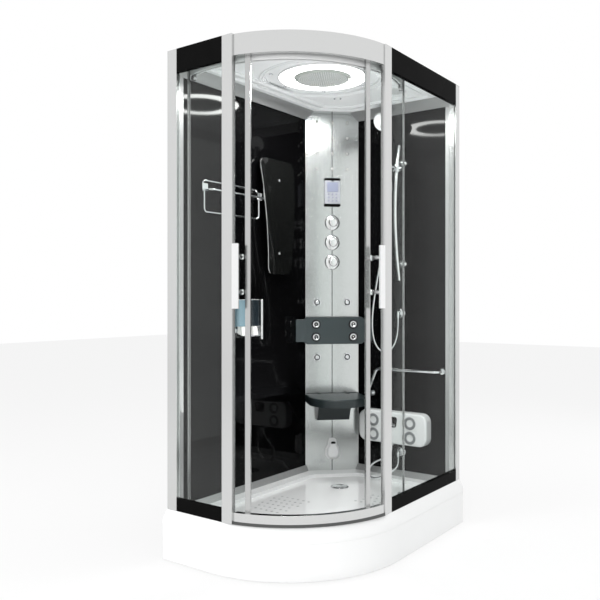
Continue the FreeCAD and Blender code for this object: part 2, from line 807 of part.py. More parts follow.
def hollow_post(points, radius):
    # An extruded tube with a closed head.
    outer = outline(points, radius)
    inner = Part.Face(outer.makeOffset2D(-POST_WALL, 2)).extrude(vec(0, 0, HEIGHT - POST_WALL - TRAY_TOP))
    post = plate(points, radius, TRAY_TOP, HEIGHT)
    inner.translate(vec(0, 0, TRAY_TOP))
    return post.cut(inner)


def corner_post_plans():
    leg = FRAME_DEPTH
    left = 0 - RIGHT_FACE
    left_post = [
        (left, FRONT_FACE),
        (left + LEFT_POST_W, FRONT_FACE),
        (left + LEFT_POST_W, FRONT_FACE + leg),
        (left + POST_LEG_W, FRONT_FACE + leg),
        (left + POST_LEG_W, RIM_FRONT),
        (left, RIM_FRONT),
    ]
    back = HALF_Y - FRAME_INSET
    right_post = [
        (RIGHT_FACE, back - RIGHT_POST_W),
        (RIGHT_FACE, back),
        (RIM_RIGHT, back),
        (RIM_RIGHT, back - POST_LEG_W),
        (RIGHT_FACE - leg, back - POST_LEG_W),
        (RIGHT_FACE - leg, back - RIGHT_POST_W),
    ]
    return left_post, right_post


def corner_posts():
    return group([hollow_post(points, 0) for points in corner_post_plans()])


def door_posts():
    x = LEFT_DOOR_POST_X
    y = RIGHT_DOOR_POST_Y
    w = DOOR_POST_W
    front, side = FRONT_FACE + FRAME_DEPTH, RIGHT_FACE - FRAME_DEPTH
    left = [(x, FRONT_FACE), (x + w, FRONT_FACE), (x + w, front), (x, front)]
    right = [(RIGHT_FACE, y), (RIGHT_FACE, y + w), (side, y + w), (side, y)]
    return group([hollow_post(points, [3, 3, 0, 0]) for points in (left, right)])


def left_span():
    return LEFT_POST_W - RIGHT_FACE, LEFT_DOOR_POST_X


def right_span():
    return RIGHT_DOOR_POST_Y + DOOR_POST_W, HALF_Y - FRAME_INSET - RIGHT_POST_W


def fixed_pane(side):
    low = TRAY_TOP + BOTTOM_FASCIA_H - PANE_GROOVE
    high = HEIGHT - TOP_FASCIA_H + PANE_GROOVE
    if side == "left":
        x0, x1 = left_span()
        face = FRONT_FACE + PANE_RECESS
        return box(x0, x1, face, face + PANE_T, low, high)
    y0, y1 = right_span()
    face = RIGHT_FACE - PANE_RECESS
    return box(face - PANE_T, face, y0, y1, low, high)


def fascias():
    x0, x1 = left_span()
    y0, y1 = right_span()
    pieces = []
    for z0, z1 in ((TRAY_TOP, TRAY_TOP + BOTTOM_FASCIA_H), (HEIGHT - TOP_FASCIA_H, HEIGHT)):
        pieces.append(box(x0, x1, FRONT_FACE, FRONT_FACE + FRAME_DEPTH, z0, z1).cut(fixed_pane("left")))
        pieces.append(box(RIGHT_FACE - FRAME_DEPTH, RIGHT_FACE, y0, y1, z0, z1).cut(fixed_pane("right")))
    return group(pieces)


def curved_rail(z0, z1):
    # A channel that opens inwards, cut off square against the two door posts.
    r0, r1, wall = FRAME_INNER_R, FRAME_R, RAIL_WALL
    points = [
        (r1, z0),
        (r1, z1),
        (r0, z1),
        (r0, z1 - wall),
        (r1 - wall, z1 - wall),
        (r1 - wall, z0 + wall),
        (r0, z0 + wall),
        (r0, z0),
    ]
    rail = sector(points, RAIL_TRIM_ANGLE - 90, 0 - RAIL_TRIM_ANGLE)
    rail = rail.cut(box(-WIDTH, LEFT_DOOR_POST_X + DOOR_POST_W, -LENGTH, LENGTH, z0 - 1, z1 + 1))
    return rail.cut(box(-WIDTH, WIDTH, RIGHT_DOOR_POST_Y, LENGTH, z0 - 1, z1 + 1))


def door_tracks():
    # The upper track is a channel with a slot below; the lower one guides the doors' feet.
    r0, r1, sheet = TRACK_INNER_R, TRACK_OUTER_R, TRACK_SHEET
    slot0 = TRACK_SLOT_INNER_R
    slot1 = slot0 + TRACK_SLOT_W
    low, high = TRACK_Z, CEILING_Z
    upper = [
        (r0, low),
        (slot0, low),
        (slot0, low + sheet),
        (r0 + sheet, low + sheet),
        (r0 + sheet, high - sheet),
        (r1 - sheet, high - sheet),
        (r1 - sheet, low + sheet),
        (slot1, low + sheet),
        (slot1, low),
        (r1, low),
        (r1, high),
        (r0, high),
    ]
    top = TRAY_TOP + BOTTOM_TRACK_H
    ground = TRAY_TOP + BOTTOM_TRACK_FLOOR
    lower = [
        (r0, TRAY_TOP),
        (r1, TRAY_TOP),
        (r1, top),
        (slot1, top),
        (slot1, ground),
        (slot0, ground),
        (slot0, top),
        (r0, top),
    ]
    return group([sector(upper, TRACK_START, TRACK_END), sector(lower, TRACK_START, TRACK_END)])


# Walls and column


def wall_frame(wall, start, end, stile_at, stile_w):
    # Bottom rail, coved top rail and one upright, round the wall's glass.
    back = WALL_FRAME_BACK - WALL_INSET
    proud = WALL_FRAME_PROUD
    bottom = [(back, LEDGE_Z), (proud + SILL_PROUD, LEDGE_Z), (proud, WALL_GLASS_Z), (back, WALL_GLASS_Z)]
    top = [
        (back, WALL_GLASS_TOP),
        (proud, WALL_GLASS_TOP),
        (proud + COVE_W, CEILING_Z - COVE_LIP),
        (proud + COVE_W, CEILING_Z),
        (back, CEILING_Z),
    ]
    stile = slab(stile_at, stile_at + stile_w, back, proud - 1, LEDGE_Z, CEILING_Z)
    frame = fuse([side_profile(bottom, 0, start, end), side_profile(top, 0, start, end), stile])
    return on_wall(frame, wall)


def column_corner():
    # Everything behind the column's face, to trim what runs into it.
    far = LENGTH
    block = slab(-far, far, -far, 0, 0, 2 * HEIGHT)
    return on_wall(block, "column")


def left_wall_frame():
    frame = wall_frame("left", RIM_FRONT, BACK_FACE, RIM_FRONT, WALL_STILE_W)
    return frame.cut(column_corner())


def back_wall_frame():
    frame = wall_frame("back", LEFT_FACE, RIM_RIGHT, RIM_RIGHT - BACK_STILE_W, BACK_STILE_W)
    return frame.cut(column_corner())


def left_wall_glass():
    glass = slab(RIM_FRONT + WALL_STILE_W, BACK_FACE, -WALL_GLASS_T, 0, WALL_GLASS_Z, WALL_GLASS_TOP)
    return on_wall(glass, "left").cut(column_corner())


def back_wall_glass():
    glass = slab(LEFT_FACE, RIM_RIGHT - BACK_STILE_W, -WALL_GLASS_T, 0, WALL_GLASS_Z, WALL_GLASS_TOP)
    return on_wall(glass, "back").cut(column_corner())


def column_panels():
    # Two folded steel sheets that meet in a seam, each mitred against its wall.
    half = COLUMN_W / 2
    gap = SEAM_GAP / 2
    sheet = COLUMN_SHEET
    fold = gap + sheet
    flange = [(fold, sheet), (fold, COLUMN_FLANGE), (gap, COLUMN_FLANGE)]
    right = [(gap, 0), (half, 0), (half - sheet, sheet)] + flange
    left = [(-s, d) for s, d in right]
    return group([on_wall(plate(p, 0, LEDGE_Z, CEILING_Z), "column") for p in (left, right)])


# Roof


def roof_shell():
    inset = FRAME_INSET + FRAME_DEPTH
    top = CEILING_Z + ROOF_WALL_H
    out = HALF_X - WALL_FRAME_BACK
    far = HALF_Y - WALL_FRAME_BACK
    front = inset - HALF_Y
    right = HALF_X - inset

    def tub(draw_in, z0, z1):
        points = [(draw_in - out, front + draw_in), (right - draw_in, front + draw_in)]
        points += [(right - draw_in, far - draw_in), (draw_in - out, far - draw_in)]
        return plate(points, [0, CORNER_R - inset - draw_in, 0, 0], z0, z1)

    shell = tub(0, CEILING_Z, top).cut(tub(ROOF_SHEET, CEILING_Z + ROOF_SHEET, top + 1))
    centre = vec(ROOF_CENTRE_X, ROOF_CENTRE_Y, 0)
    up = vec(0, 0, 1)
    dome = CEILING_Z + DOME_RISE
    cup = Part.makeCylinder(DOME_R + ROOF_SHEET, dome + ROOF_SHEET - CEILING_Z, centre + up * CEILING_Z)
    shell = shell.fuse(cup).cut(Part.makeCylinder(DOME_R, DOME_RISE, centre + up * CEILING_Z))
    shell = shell.cut(Part.makeCylinder(RAIN_STEM_R + 0.3, HEIGHT, centre))
    shell = shell.cut(Part.makeCylinder(FAN_BODY_R + 0.3, HEIGHT, vec(FAN_X, FAN_Y, 0)))
    for i in range(SPOT_COUNT):
        angle = math.radians(360 * i / SPOT_COUNT + 20)
        spot = centre + vec(math.cos(angle), math.sin(angle), 0) * SPOT_CIRCLE_R
        shell = shell.cut(Part.makeCylinder(SPOT_R, dome + 1.5, spot))
    for points in corner_post_plans():
        shell = shell.cut(plate(points, 0, CEILING_Z, HEIGHT))
    return shell.removeSplitter()


def roof_light_ring():
    top = CEILING_Z + DOME_RISE
    r0, r1 = LIGHT_INNER_R, LIGHT_OUTER_R
    low = top - LIGHT_T
    points = [(r0, top), (r0, low + 2), (r0 + 2, low), (r1 - 4, low), (r1, low + 4), (r1, top)]
    return turned(points, vec(ROOF_CENTRE_X, ROOF_CENTRE_Y, 0), vec(0, 0, 1))


def rain_head():
    top = CEILING_Z + DOME_RISE
    low = top - RAIN_T
    r = RAIN_R
    stem = top + RAIN_STEM_H
    points = [(0, low), (r - 6, low), (r, low + 5), (r, top), (RAIN_STEM_R, top), (RAIN_STEM_R, stem), (0, stem)]
    return turned(points, vec(ROOF_CENTRE_X, ROOF_CENTRE_Y, 0), vec(0, 0, 1))


def exhaust_fan():
    z = CEILING_Z
    points = [(0, -FAN_GRILLE_T), (FAN_R - 3, -FAN_GRILLE_T), (FAN_R, 0), (FAN_BODY_R, 0)]
    points += [(FAN_BODY_R, FAN_BODY_H), (0, FAN_BODY_H)]
    fan = turned(points, vec(FAN_X, FAN_Y, z), vec(0, 0, 1))
    for i in range(FAN_SLOT_COUNT):
        offset = (i - (FAN_SLOT_COUNT - 1) / 2) * FAN_SLOT_PITCH
        reach = math.sqrt((FAN_BODY_R - 4) ** 2 - offset**2)
        y = FAN_Y + offset
        low, high = z - FAN_GRILLE_T - 1, z + 6
        half = FAN_SLOT_W / 2
        slot = box(FAN_X - reach, FAN_X + reach, y - half, y + half, low, high)
        fan = fan.cut(slot)
    return fan


# Doors


def span(lead, sign, near, far):
    # Angles of a stretch of door, given as distances back from its leading edge.
    a = lead - sign * near
    b = lead - sign * far
    return min(a, b), max(a, b)


def mm_angle(length):
    return math.degrees(length / DOOR_OUTER_R)


def door_glass(lead, sign):
    a, b = span(lead, sign, mm_angle(STRIP_WALL), DOOR_ARC - mm_angle(STRIP_WALL))
    r0, r1 = DOOR_GLASS_R, DOOR_OUTER_R
    return sector([(r0, DOOR_BOTTOM_Z), (r1, DOOR_BOTTOM_Z), (r1, DOOR_TOP_Z), (r0, DOOR_TOP_Z)], a, b)


def door_strip(lead, sign, near, far):
    a, b = span(lead, sign, near, far)
    r0 = DOOR_GLASS_R - STRIP_WALL
    r1 = DOOR_OUTER_R + STRIP_WALL
    strip = sector([(r0, DOOR_BOTTOM_Z), (r1, DOOR_BOTTOM_Z), (r1, DOOR_TOP_Z), (r0, DOOR_TOP_Z)], a, b)
    return strip.cut(door_glass(lead, sign))


def hanger(angle, inner_face):
    # A plate that rises through the track's slot, with the roller's axle at its top.
    half = HANGER_W / 2
    r0 = STEM_PLATE_R
    r1 = r0 + HANGER_T
    points = [(-half, HANGER_BOSS_Z), (half, HANGER_BOSS_Z), (half, ROLLER_Z + half), (-half, ROLLER_Z + half)]
    sheet = Part.Face(outline(points, half * 0.6)).extrude(vec(0, 0, HANGER_T))
    sheet.Placement = FreeCAD.Placement(vec(r0, 0, 0), FreeCAD.Rotation(vec(1, 1, 1), 120))
    boss = rod(HANGER_BOSS_R, vec(r0, 0, HANGER_BOSS_Z), vec(inner_face, 0, HANGER_BOSS_Z))
    axle = rod(AXLE_R, vec(r0, 0, ROLLER_Z), vec(ROLLER_START_R + ROLLER_W, 0, ROLLER_Z))
    return at_angle(fuse([sheet, boss, axle]), angle)


def guide(angle):
    # A block at the door's foot, with a pin in the lower track's groove.
    track_top = TRAY_TOP + BOTTOM_TRACK_H
    middle = TRACK_SLOT_INNER_R + TRACK_SLOT_W / 2
    z = track_top + GUIDE_LIFT
    block = box(middle - 5, DOOR_GLASS_R, -GUIDE_W / 2, GUIDE_W / 2, z, z + GUIDE_H)
    end = TRAY_TOP + BOTTOM_TRACK_FLOOR + 2
    pin = rod(GUIDE_PIN_R, vec(middle, 0, end), vec(middle, 0, z + 1))
    return at_angle(fuse([block, pin]), angle)


def door_trim(lead, sign):
    trail = DOOR_ARC - mm_angle(TRAIL_STRIP_W)
    pieces = [door_strip(lead, sign, 0, mm_angle(LEAD_STRIP_W)), door_strip(lead, sign, trail, DOOR_ARC)]
    glass = door_glass(lead, sign)
    for back, face in ((LEAD_HANGER_ANGLE, DOOR_GLASS_R - STRIP_WALL), (TRAIL_HANGER_ANGLE, DOOR_GLASS_R)):
        angle = lead - sign * back
        pieces.append(hanger(angle, face).cut(glass).cut(pieces[0]))
        pieces.append(guide(angle).cut(glass).cut(pieces[0]))
    return group(pieces)


def door_handle(lead, sign):
    # A flat bar on two stand-offs, with a round nut on the inside of the glass.
    z0, z1 = HANDLE_Z, HANDLE_Z + HANDLE_L
    start = DOOR_OUTER_R + HANDLE_STANDOFF
    grip = [(start, -HANDLE_W / 2), (start + HANDLE_T, -HANDLE_W / 2), (start + HANDLE_T, HANDLE_W / 2)]
    grip.append((start, HANDLE_W / 2))
    parts = [plate(grip, 3, z0, z1)]
    inner = []
    for i in range(2):
        z = z0 + HANDLE_SCREW_INSET + i * HANDLE_SCREW_SPACING
        parts.append(rod(HANDLE_STANDOFF_R, vec(DOOR_OUTER_R - 0.5, 0, z), vec(start + 1, 0, z)))
        knob = [(0, 0), (HANDLE_KNOB_R * 0.6, 0), (HANDLE_KNOB_R, 4), (HANDLE_KNOB_R, HANDLE_KNOB_T - 3)]
        knob += [(HANDLE_KNOB_R - 3, HANDLE_KNOB_T), (0, HANDLE_KNOB_T)]
        inner.append(turned(knob, vec(DOOR_GLASS_R, 0, z), vec(-1, 0, 0)))
    angle = lead - sign * HANDLE_ANGLE
    glass = door_glass(lead, sign)
    bar_piece = at_angle(fuse(parts), angle).cut(glass)
    knobs = [at_angle(knob, angle).cut(glass) for knob in inner]
    return group(bar_piece.Solids + knobs)


def door_roller(angle):
    r0 = ROLLER_START_R
    tread = ROLLER_R
    shape = [
        (AXLE_R + AXLE_GAP, 0),
        (tread, 0),
        (tread, ROLLER_W),
        (tread - 3, ROLLER_W),
        (tread - 4, ROLLER_W - 0.8),
        (AXLE_R + 2.5, ROLLER_W - 0.8),
        (AXLE_R + 1.5, ROLLER_W),
        (AXLE_R + AXLE_GAP, ROLLER_W),
    ]
    return at_angle(turned(shape, vec(r0, 0, ROLLER_Z), vec(1, 0, 0)), angle)


# Equipment on the column


def jet(s, z, radius, depth):
    points = [(0, depth), (radius, depth), (radius, depth + JET_T - 3), (radius - 3, depth + JET_T)]
    points += [(NOZZLE_R + 3, depth + JET_T), (NOZZLE_R, depth + JET_T - 2), (NOZZLE_R, depth + JET_T)]
    points += [(NOZZLE_R - 2, depth + JET_T + NOZZLE_T), (3, depth + JET_T + NOZZLE_T)]
    points += [(3, depth + JET_T), (0, depth + JET_T)]
    return disc(points, s, z)


def water_jets():
    pieces = []
    for side in (-1, 1):
        for z in BODY_JET_Z:
            pieces.append(jet(side * BODY_JET_S, z, BODY_JET_R, 0))
        for z in BELT_JET_Z:
            pieces.append(jet(side * BELT_JET_S, z, BELT_JET_R, BELT_D))
    r, t = NEEDLE_R, NEEDLE_T
    needle = [(0, 0), (r, 0), (r, t * 0.4), (r / 2, t), (0, t)]
    for s in NEEDLE_S:
        for i in range(NEEDLE_ROWS):
            pieces.append(disc(needle, s, NEEDLE_LOW_Z + i * NEEDLE_PITCH))
    return group([on_wall(piece, "column") for piece in pieces])


def massage_belt():
    # A flat plate across the column, whose wings reach back to the two walls.
    half = BELT_W / 2
    inner = BELT_D - BELT_T
    tip = half + BELT_WING
    wall = COLUMN_W / 2
    front = BELT_D - BELT_WING_DROP
    right = [(half, BELT_D), (tip, front), (wall + front, front), (wall + inner, inner)]
    points = right + [(-s, d) for s, d in reversed(right)]
    body = plate([(s, -d) for s, d in points], [0, 8, 0, 0, 0, 0, 8, 0], BELT_Z, BELT_Z + BELT_H)
    low, high = BELT_Z, BELT_Z + BELT_H
    step = BELT_WING_INSET
    edge = wall + BELT_D + BELT_WING_LAP
    rise = half + BELT_WING_RUN
    tab = [(edge, low + step), (edge, high - step)]
    side = [(half, low), (rise, low + step)] + tab + [(rise, high - step), (half, high)]
    face = face_plate(side + [(-s, z) for s, z in reversed(side)], 0, 0, 2 * BELT_D)
    stay_z = low + BELT_STAY_LIFT
    stay = slab(-BELT_STAY_W / 2, BELT_STAY_W / 2, 0, inner + 1, stay_z, stay_z + BELT_STAY_H)
    return on_wall(fuse([body.common(face), stay]), "column")


def control_panel():
    # The case, and a cap along its top and bottom edges.
    half = PANEL_W / 2
    low, high = PANEL_Z, PANEL_Z + PANEL_H
    cap = PANEL_CAP_H
    case = slab(-half + 1, half - 1, 0, PANEL_T - 1, low + cap, high - cap)
    caps = []
    for z in (low, high - cap):
        caps.append(slab(-half, half, 0, PANEL_T, z, z + cap))
    rounded = face_plate([(-half, low), (half, low), (half, high), (-half, high)], 6, 0, PANEL_T + 1)
    return group([on_wall(piece.common(rounded), "column") for piece in [case] + caps])


def mixer_valve():
    # Three rosettes on the face, and the valve behind. Its hot and cold inlets point back.
    pieces = []
    for z in KNOB_Z:
        r, t = ROSETTE_R, ROSETTE_T
        bore = STEM_R + AXLE_GAP
        points = [(bore, 0), (r, 0), (r, t / 3), (r - 5, t - 2), (r - 11, t), (bore, t)]
        pieces.append(disc(points, 0, z))
    low = KNOB_Z[0] - VALVE_END
    high = KNOB_Z[-1] + VALVE_END
    start = -COLUMN_FLANGE
    body = slab(-VALVE_W / 2, VALVE_W / 2, start - VALVE_D, start, low, high)
    middle = VALVE_D / 2 + COLUMN_FLANGE
    parts = [body]
    for side in (-1, 1):
        s = side * INLET_S
        z = low + VALVE_END
        root = middle + INLET_NUT_R
        parts.append(rod(INLET_ARM_R, vec(0, middle, z), vec(s, middle, z)))
        parts.append(rod(INLET_NUT_R, vec(s, middle - INLET_NUT_R, z), vec(s, root, z)))
        parts.append(rod(INLET_R, vec(s, middle, z), vec(s, root + INLET_L, z)))
    pieces.append(fuse(parts))
    return group([on_wall(piece, "column") for piece in pieces])


def knob(z):
    # A round knob with finger scallops and a bar across its face.
    r = KNOB_R
    start = ROSETTE_T + RUN_GAP
    end = start + KNOB_L
    points = [(0, start - STEM_L), (STEM_R, start - STEM_L), (STEM_R, start), (r, start)]
    points += [(r, end - 5), (r - 4, end - 1), (r - 8, end), (0, end)]
    body = disc(points, 0, z)
    for i in range(KNOB_GRIP_COUNT):
        angle = math.radians(360 * (i + 0.5) / KNOB_GRIP_COUNT)
        reach = r + KNOB_GRIP_R * 0.55
        body = body.cut(stud(KNOB_GRIP_R, reach * math.cos(angle), z + reach * math.sin(angle), start + 5, end + 1))
    pointer = slab(-2.5, 2.5, end - 1, end + 2, z, z + r - 8)
    return on_wall(body.fuse(pointer), "column")


def steam_outlet():
    half = STEAM_W / 2
    low, high = STEAM_Z - STEAM_H / 2, STEAM_Z + STEAM_H / 2
    points = [(-half, low), (half, low), (half, high), (-half, high)]
    base = face_plate(points, half - 0.5, 0, STEAM_D * 0.5)
    inner = 9.0
    side, foot, head = half - inner, low + inner, high - inner
    points = [(-side, foot), (side, foot), (side, head), (-side, head)]
    cap = face_plate(points, half - inner - 0.5, STEAM_D * 0.5, STEAM_D)
    w, h = STEAM_SLOT_W / 2, STEAM_SLOT_H / 2
    z = STEAM_SLOT_Z
    mouth = [(-w, z - h), (w, z - h), (w, z + h), (-w, z + h)]
    slot = face_plate(mouth, h - 0.5, STEAM_D * 0.3, STEAM_D + 1)
    return on_wall(fuse([base, cap]).cut(slot), "column")


def steam_generator():
    half = GENERATOR_W / 2
    low, high = GENERATOR_Z, GENERATOR_Z + GENERATOR_H
    start = COLUMN_FLANGE
    points = [(-half, start), (half, start), (half, start + GENERATOR_D), (-half, start + GENERATOR_D)]
    tank = plate(points, 12, low, high)
    feed = rod(8, vec(0, start + GENERATOR_D / 2, low - 30), vec(0, start + GENERATOR_D / 2, low))
    return on_wall(fuse([tank, feed]), "column")


def seat_bracket():
    # A hollow tapered block under the seat, with two ears that hold the hinge pins.
    low = SEAT_TOP - SEAT_T - RUN_GAP - SEAT_BLOCK_H
    high = low + SEAT_BLOCK_H
    half = SEAT_BLOCK_W / 2
    wall = SEAT_BLOCK_WALL
    block = side_profile([(0, low), (SEAT_BLOCK_FOOT_D, low), (SEAT_BLOCK_TOP_D, high), (0, high)], 0, -half, half)
    hollow = [(wall, low - 1), (SEAT_BLOCK_FOOT_D - wall, low - 1), (SEAT_BLOCK_FOOT_D - wall, low + wall)]
    hollow += [(SEAT_BLOCK_TOP_D - 2 * wall, high - wall), (wall, high - wall)]
    parts = [block.cut(side_profile(hollow, 0, wall - half, half - wall))]
    d, z = SEAT_AXIS_D, SEAT_AXIS_Z
    for side in (-1, 1):
        s = side * SEAT_EAR_SPACING / 2
        w = SEAT_EAR_W / 2
        near, far = d - SEAT_EAR_R, d + SEAT_EAR_R
        web = [(near, high - 1), (far, high - 1), (far, z), (near, z)]
        ear = side_profile(web, 0, s - w, s + w)
        eye = rod(SEAT_EAR_R, vec(s - w, -d, z), vec(s + w, -d, z))
        pin = rod(SEAT_PIN_R, vec(s - w - SEAT_PIN_L, -d, z), vec(s + w + SEAT_PIN_L, -d, z))
        parts += [ear, eye, pin]
    return on_wall(fuse(parts), "column")


def seat():
    # A D-shaped seat with two notches at the back for the hinge ears.
    half = SEAT_W / 2
    back = SEAT_GAP
    front = back + SEAT_REACH
    low = SEAT_TOP - SEAT_T
    points = [(-half, -back), (half, -back), (half, -front), (-half, -front)]
    shape = plate(points, [10, 10, half - 1, half - 1], low, SEAT_TOP)
    rim = [e for e in shape.Edges if abs(e.BoundBox.ZMin - SEAT_TOP) < 1e-3 and e.BoundBox.ZLength < 1e-3]
    shape = shape.makeFillet(8, rim)
    d, z = SEAT_AXIS_D, SEAT_AXIS_Z
    # Behind the hinge the underside is round about the pins, so that it clears the block.
    heel = slab(-SEAT_W, SEAT_W, -1, d, low - 1, z)
    shape = shape.cut(heel.cut(rod(z - low, vec(-SEAT_W, -d, z), vec(SEAT_W, -d, z))))
    for side in (-1, 1):
        s = side * SEAT_EAR_SPACING / 2
        w = SEAT_EAR_W / 2 + RUN_GAP
        notch = slab(s - w, s + w, 0, d + SEAT_EAR_R + 2, low - 1, SEAT_TOP + 1)
        hole = SEAT_PIN_L + w + RUN_GAP
        shape = shape.cut(notch).cut(rod(SEAT_PIN_R + AXLE_GAP, vec(s - hole, -d, z), vec(s + hole, -d, z)))
    return on_wall(shape, "column")


# Equipment on the left wall


def towel_rack():
    left, right = RACK_LEFT_S, RACK_RIGHT_S
    half = RACK_BLOCK / 2
    z = RACK_Z
    parts = []
    for s in (left, right):
        parts.append(slab(s - half, s + half, 0, RACK_BLOCK_D, z - half, z + half))
    upper = [vec(left, -RACK_TOP_D, z), vec(left, -RACK_TOP_D, RACK_TOP_Z), vec(right, -RACK_TOP_D, RACK_TOP_Z)]
    upper.append(vec(right, -RACK_TOP_D, z))
    lower = [vec(left, -RACK_BAR_D, z), vec(left, -RACK_BAR_D, RACK_BAR_Z), vec(right, -RACK_BAR_D, RACK_BAR_Z)]
    lower.append(vec(right, -RACK_BAR_D, z))
    shelf = [vec(left, -10, RACK_SHELF_Z), vec(left, -RACK_SHELF_D, RACK_SHELF_Z)]
    shelf += [vec(right, -RACK_SHELF_D, RACK_SHELF_Z), vec(right, -10, RACK_SHELF_Z)]
    for points in (upper, lower, shelf):
        parts.append(bar(points, RACK_ROD, RACK_BEND_R))
    return on_wall(fuse(parts), "left")


def mirror_depth(z, offset):
    # How far the bowed plate's back face, or a face offset from it, stands out at a height.
    radius = MIRROR_BACK_R + offset
    return MIRROR_CENTRE_D + math.sqrt(radius**2 - (z - MIRROR_MID_Z) ** 2)


def wall_mirror():
    # A bowed dark plate on two posts, with a round cap over each screw.
    s0, s1 = MIRROR_TOP_S
    s2, s3 = MIRROR_BOTTOM_S
    low, high = MIRROR_BOTTOM - MIRROR_SPARE, MIRROR_TOP + MIRROR_SPARE
    corners = []
    for offset in (0, MIRROR_T):
        corners.append([vec(0, -mirror_depth(z, offset), z) for z in (low, MIRROR_MID_Z, high)])
    back, front = corners
    edges = [
        Part.Arc(*front).toShape(),
        Part.LineSegment(front[2], back[2]).toShape(),
        Part.Arc(back[2], back[1], back[0]).toShape(),
        Part.LineSegment(back[0], front[0]).toShape(),
    ]
    section = Part.Face(Part.Wire(edges))
    section.translate(vec(s0 - MIRROR_SPARE, 0, 0))
    face = [(s2, MIRROR_BOTTOM), (s3, MIRROR_BOTTOM), (s1, MIRROR_TOP), (s0, MIRROR_TOP)]
    prism = face_plate(face, MIRROR_CORNER_R, 0, MIRROR_END_D + MIRROR_BOW + MIRROR_SPARE)
    sheet = section.extrude(vec(s1 - s0 + 2 * MIRROR_SPARE, 0, 0)).common(prism)
    pieces = [sheet]
    for z in MIRROR_SCREW_Z:
        middle_d = mirror_depth(z, MIRROR_T / 2)
        cap_d = mirror_depth(z, MIRROR_T) + MIRROR_CAP_T
        pieces.append(stud(MIRROR_POST_R, MIRROR_SCREW_S, z, 0, middle_d).cut(sheet))
        pieces.append(stud(MIRROR_CAP_R, MIRROR_SCREW_S, z, middle_d, cap_d).cut(sheet))
    return group([on_wall(solid, "left") for piece in pieces for solid in piece.Solids])


def soap_holder():
    low = SOAP_PLATE_Z
    high = SOAP_TANK_Z + SOAP_TANK_H + 2
    s0 = SOAP_S[0] - SOAP_TANK_W / 2
    s1 = SOAP_S[1] + SOAP_TANK_W / 2
    back = slab(s0, s1, 0, SOAP_PLATE_T, low, high)
    end = slab(s1, s1 + SOAP_END_W, 0, SOAP_PLATE_T + SOAP_TANK_D + 3, low - 11, high)
    parts = [back, end]
    for s in SOAP_S:
        # The pump nose over each lever, between the lever and the plate.
        parts.append(slab(s - 8, s + 8, SOAP_PLATE_T - 1, SOAP_LEVER_START - 9, low + 22, low + 40))
    return on_wall(fuse(parts), "left")


def soap_tanks():
    tanks = []
    half = SOAP_TANK_W / 2 - 0.5
    d0, d1 = SOAP_PLATE_T, SOAP_PLATE_T + SOAP_TANK_D
    for s in SOAP_S:
        points = [(s - half, -d0), (s + half, -d0), (s + half, -d1), (s - half, -d1)]
        tanks.append(plate(points, [1, 1, 14, 14], SOAP_TANK_Z, SOAP_TANK_Z + SOAP_TANK_H))
    return group([on_wall(tank, "left") for tank in tanks])


def soap_lever(s):
    half = SOAP_LEVER_W / 2
    start = SOAP_LEVER_START
    end = start + SOAP_LEVER_D
    high = SOAP_TANK_Z - RUN_GAP
    low = high - SOAP_LEVER_H
    points = [(start, high), (end - 6, high), (end, low + 6), (end, low), (end - 6, low), (start, low + 12)]
    return on_wall(side_profile(points, 0, s - half, s + half), "left")


# Equipment on the back wall


def riser_depth(z):
    return RISER_CENTRE_D + math.sqrt(RISER_R**2 - (z - RISER_MID_Z) ** 2)


def riser_rail():
    s = RISER_S
    middle = vec(s, -riser_depth(RISER_MID_Z), RISER_MID_Z)
    arc = Part.Arc(vec(s, -RISER_END_D, RISER_FOOT_Z), middle, vec(s, -RISER_END_D, RISER_TOP_Z)).toShape()
    parts = [pipe(Part.Wire([arc]), RISER_ROD)]
    for side in (-1, 1):
        z = RISER_MID_Z + side * RISER_BRACKET
        parts.append(stud(RISER_BRACKET_R, s, z, 0, riser_depth(z)))
        parts.append(disc([(0, 0), (RISER_ROSE_R, 0), (RISER_ROSE_R - 2, RISER_ROSE_T), (0, RISER_ROSE_T)], s, z))
    return on_wall(fuse(parts), "back")


def handset_slider():
    # A sleeve on the rail with a clamp knob, and an arm that carries the handset's pivot.
    s, z = RISER_S, SLIDER_Z
    d = riser_depth(z)
    slope = math.degrees(math.asin((z - RISER_MID_Z) / RISER_R))
    half = SLIDER_H / 2
    sleeve = rod(SLIDER_R, vec(0, 0, -half), vec(0, 0, half))
    sleeve.Placement = FreeCAD.Placement(vec(s, -d, z), FreeCAD.Rotation(vec(1, 0, 0), -slope))
    arm = slab(s - PIVOT_W / 2, s + PIVOT_W / 2, d, PIVOT_D, z - 8, z + 8)
    boss = rod(PIVOT_R, vec(s - PIVOT_W / 2, -PIVOT_D, z), vec(s + PIVOT_W / 2, -PIVOT_D, z))
    clamp = rod(SLIDER_KNOB_R, vec(s, -d, z), vec(s + SLIDER_R + SLIDER_KNOB_L, -d, z))
    body = fuse([sleeve, arm, boss, clamp])
    low, high = z - SLIDER_H, z + SLIDER_H
    arc = Part.Arc(vec(s, -riser_depth(low), low), vec(s, -d, z), vec(s, -riser_depth(high), high)).toShape()
    return on_wall(body.cut(pipe(Part.Wire([arc]), RISER_ROD + 2 * RUN_GAP)), "back")


def handset_axis():
    start = vec(CLIP_S, -PIVOT_D, SLIDER_Z)
    lean = vec(*HANDSET_LEAN).normalize()
    return start, lean


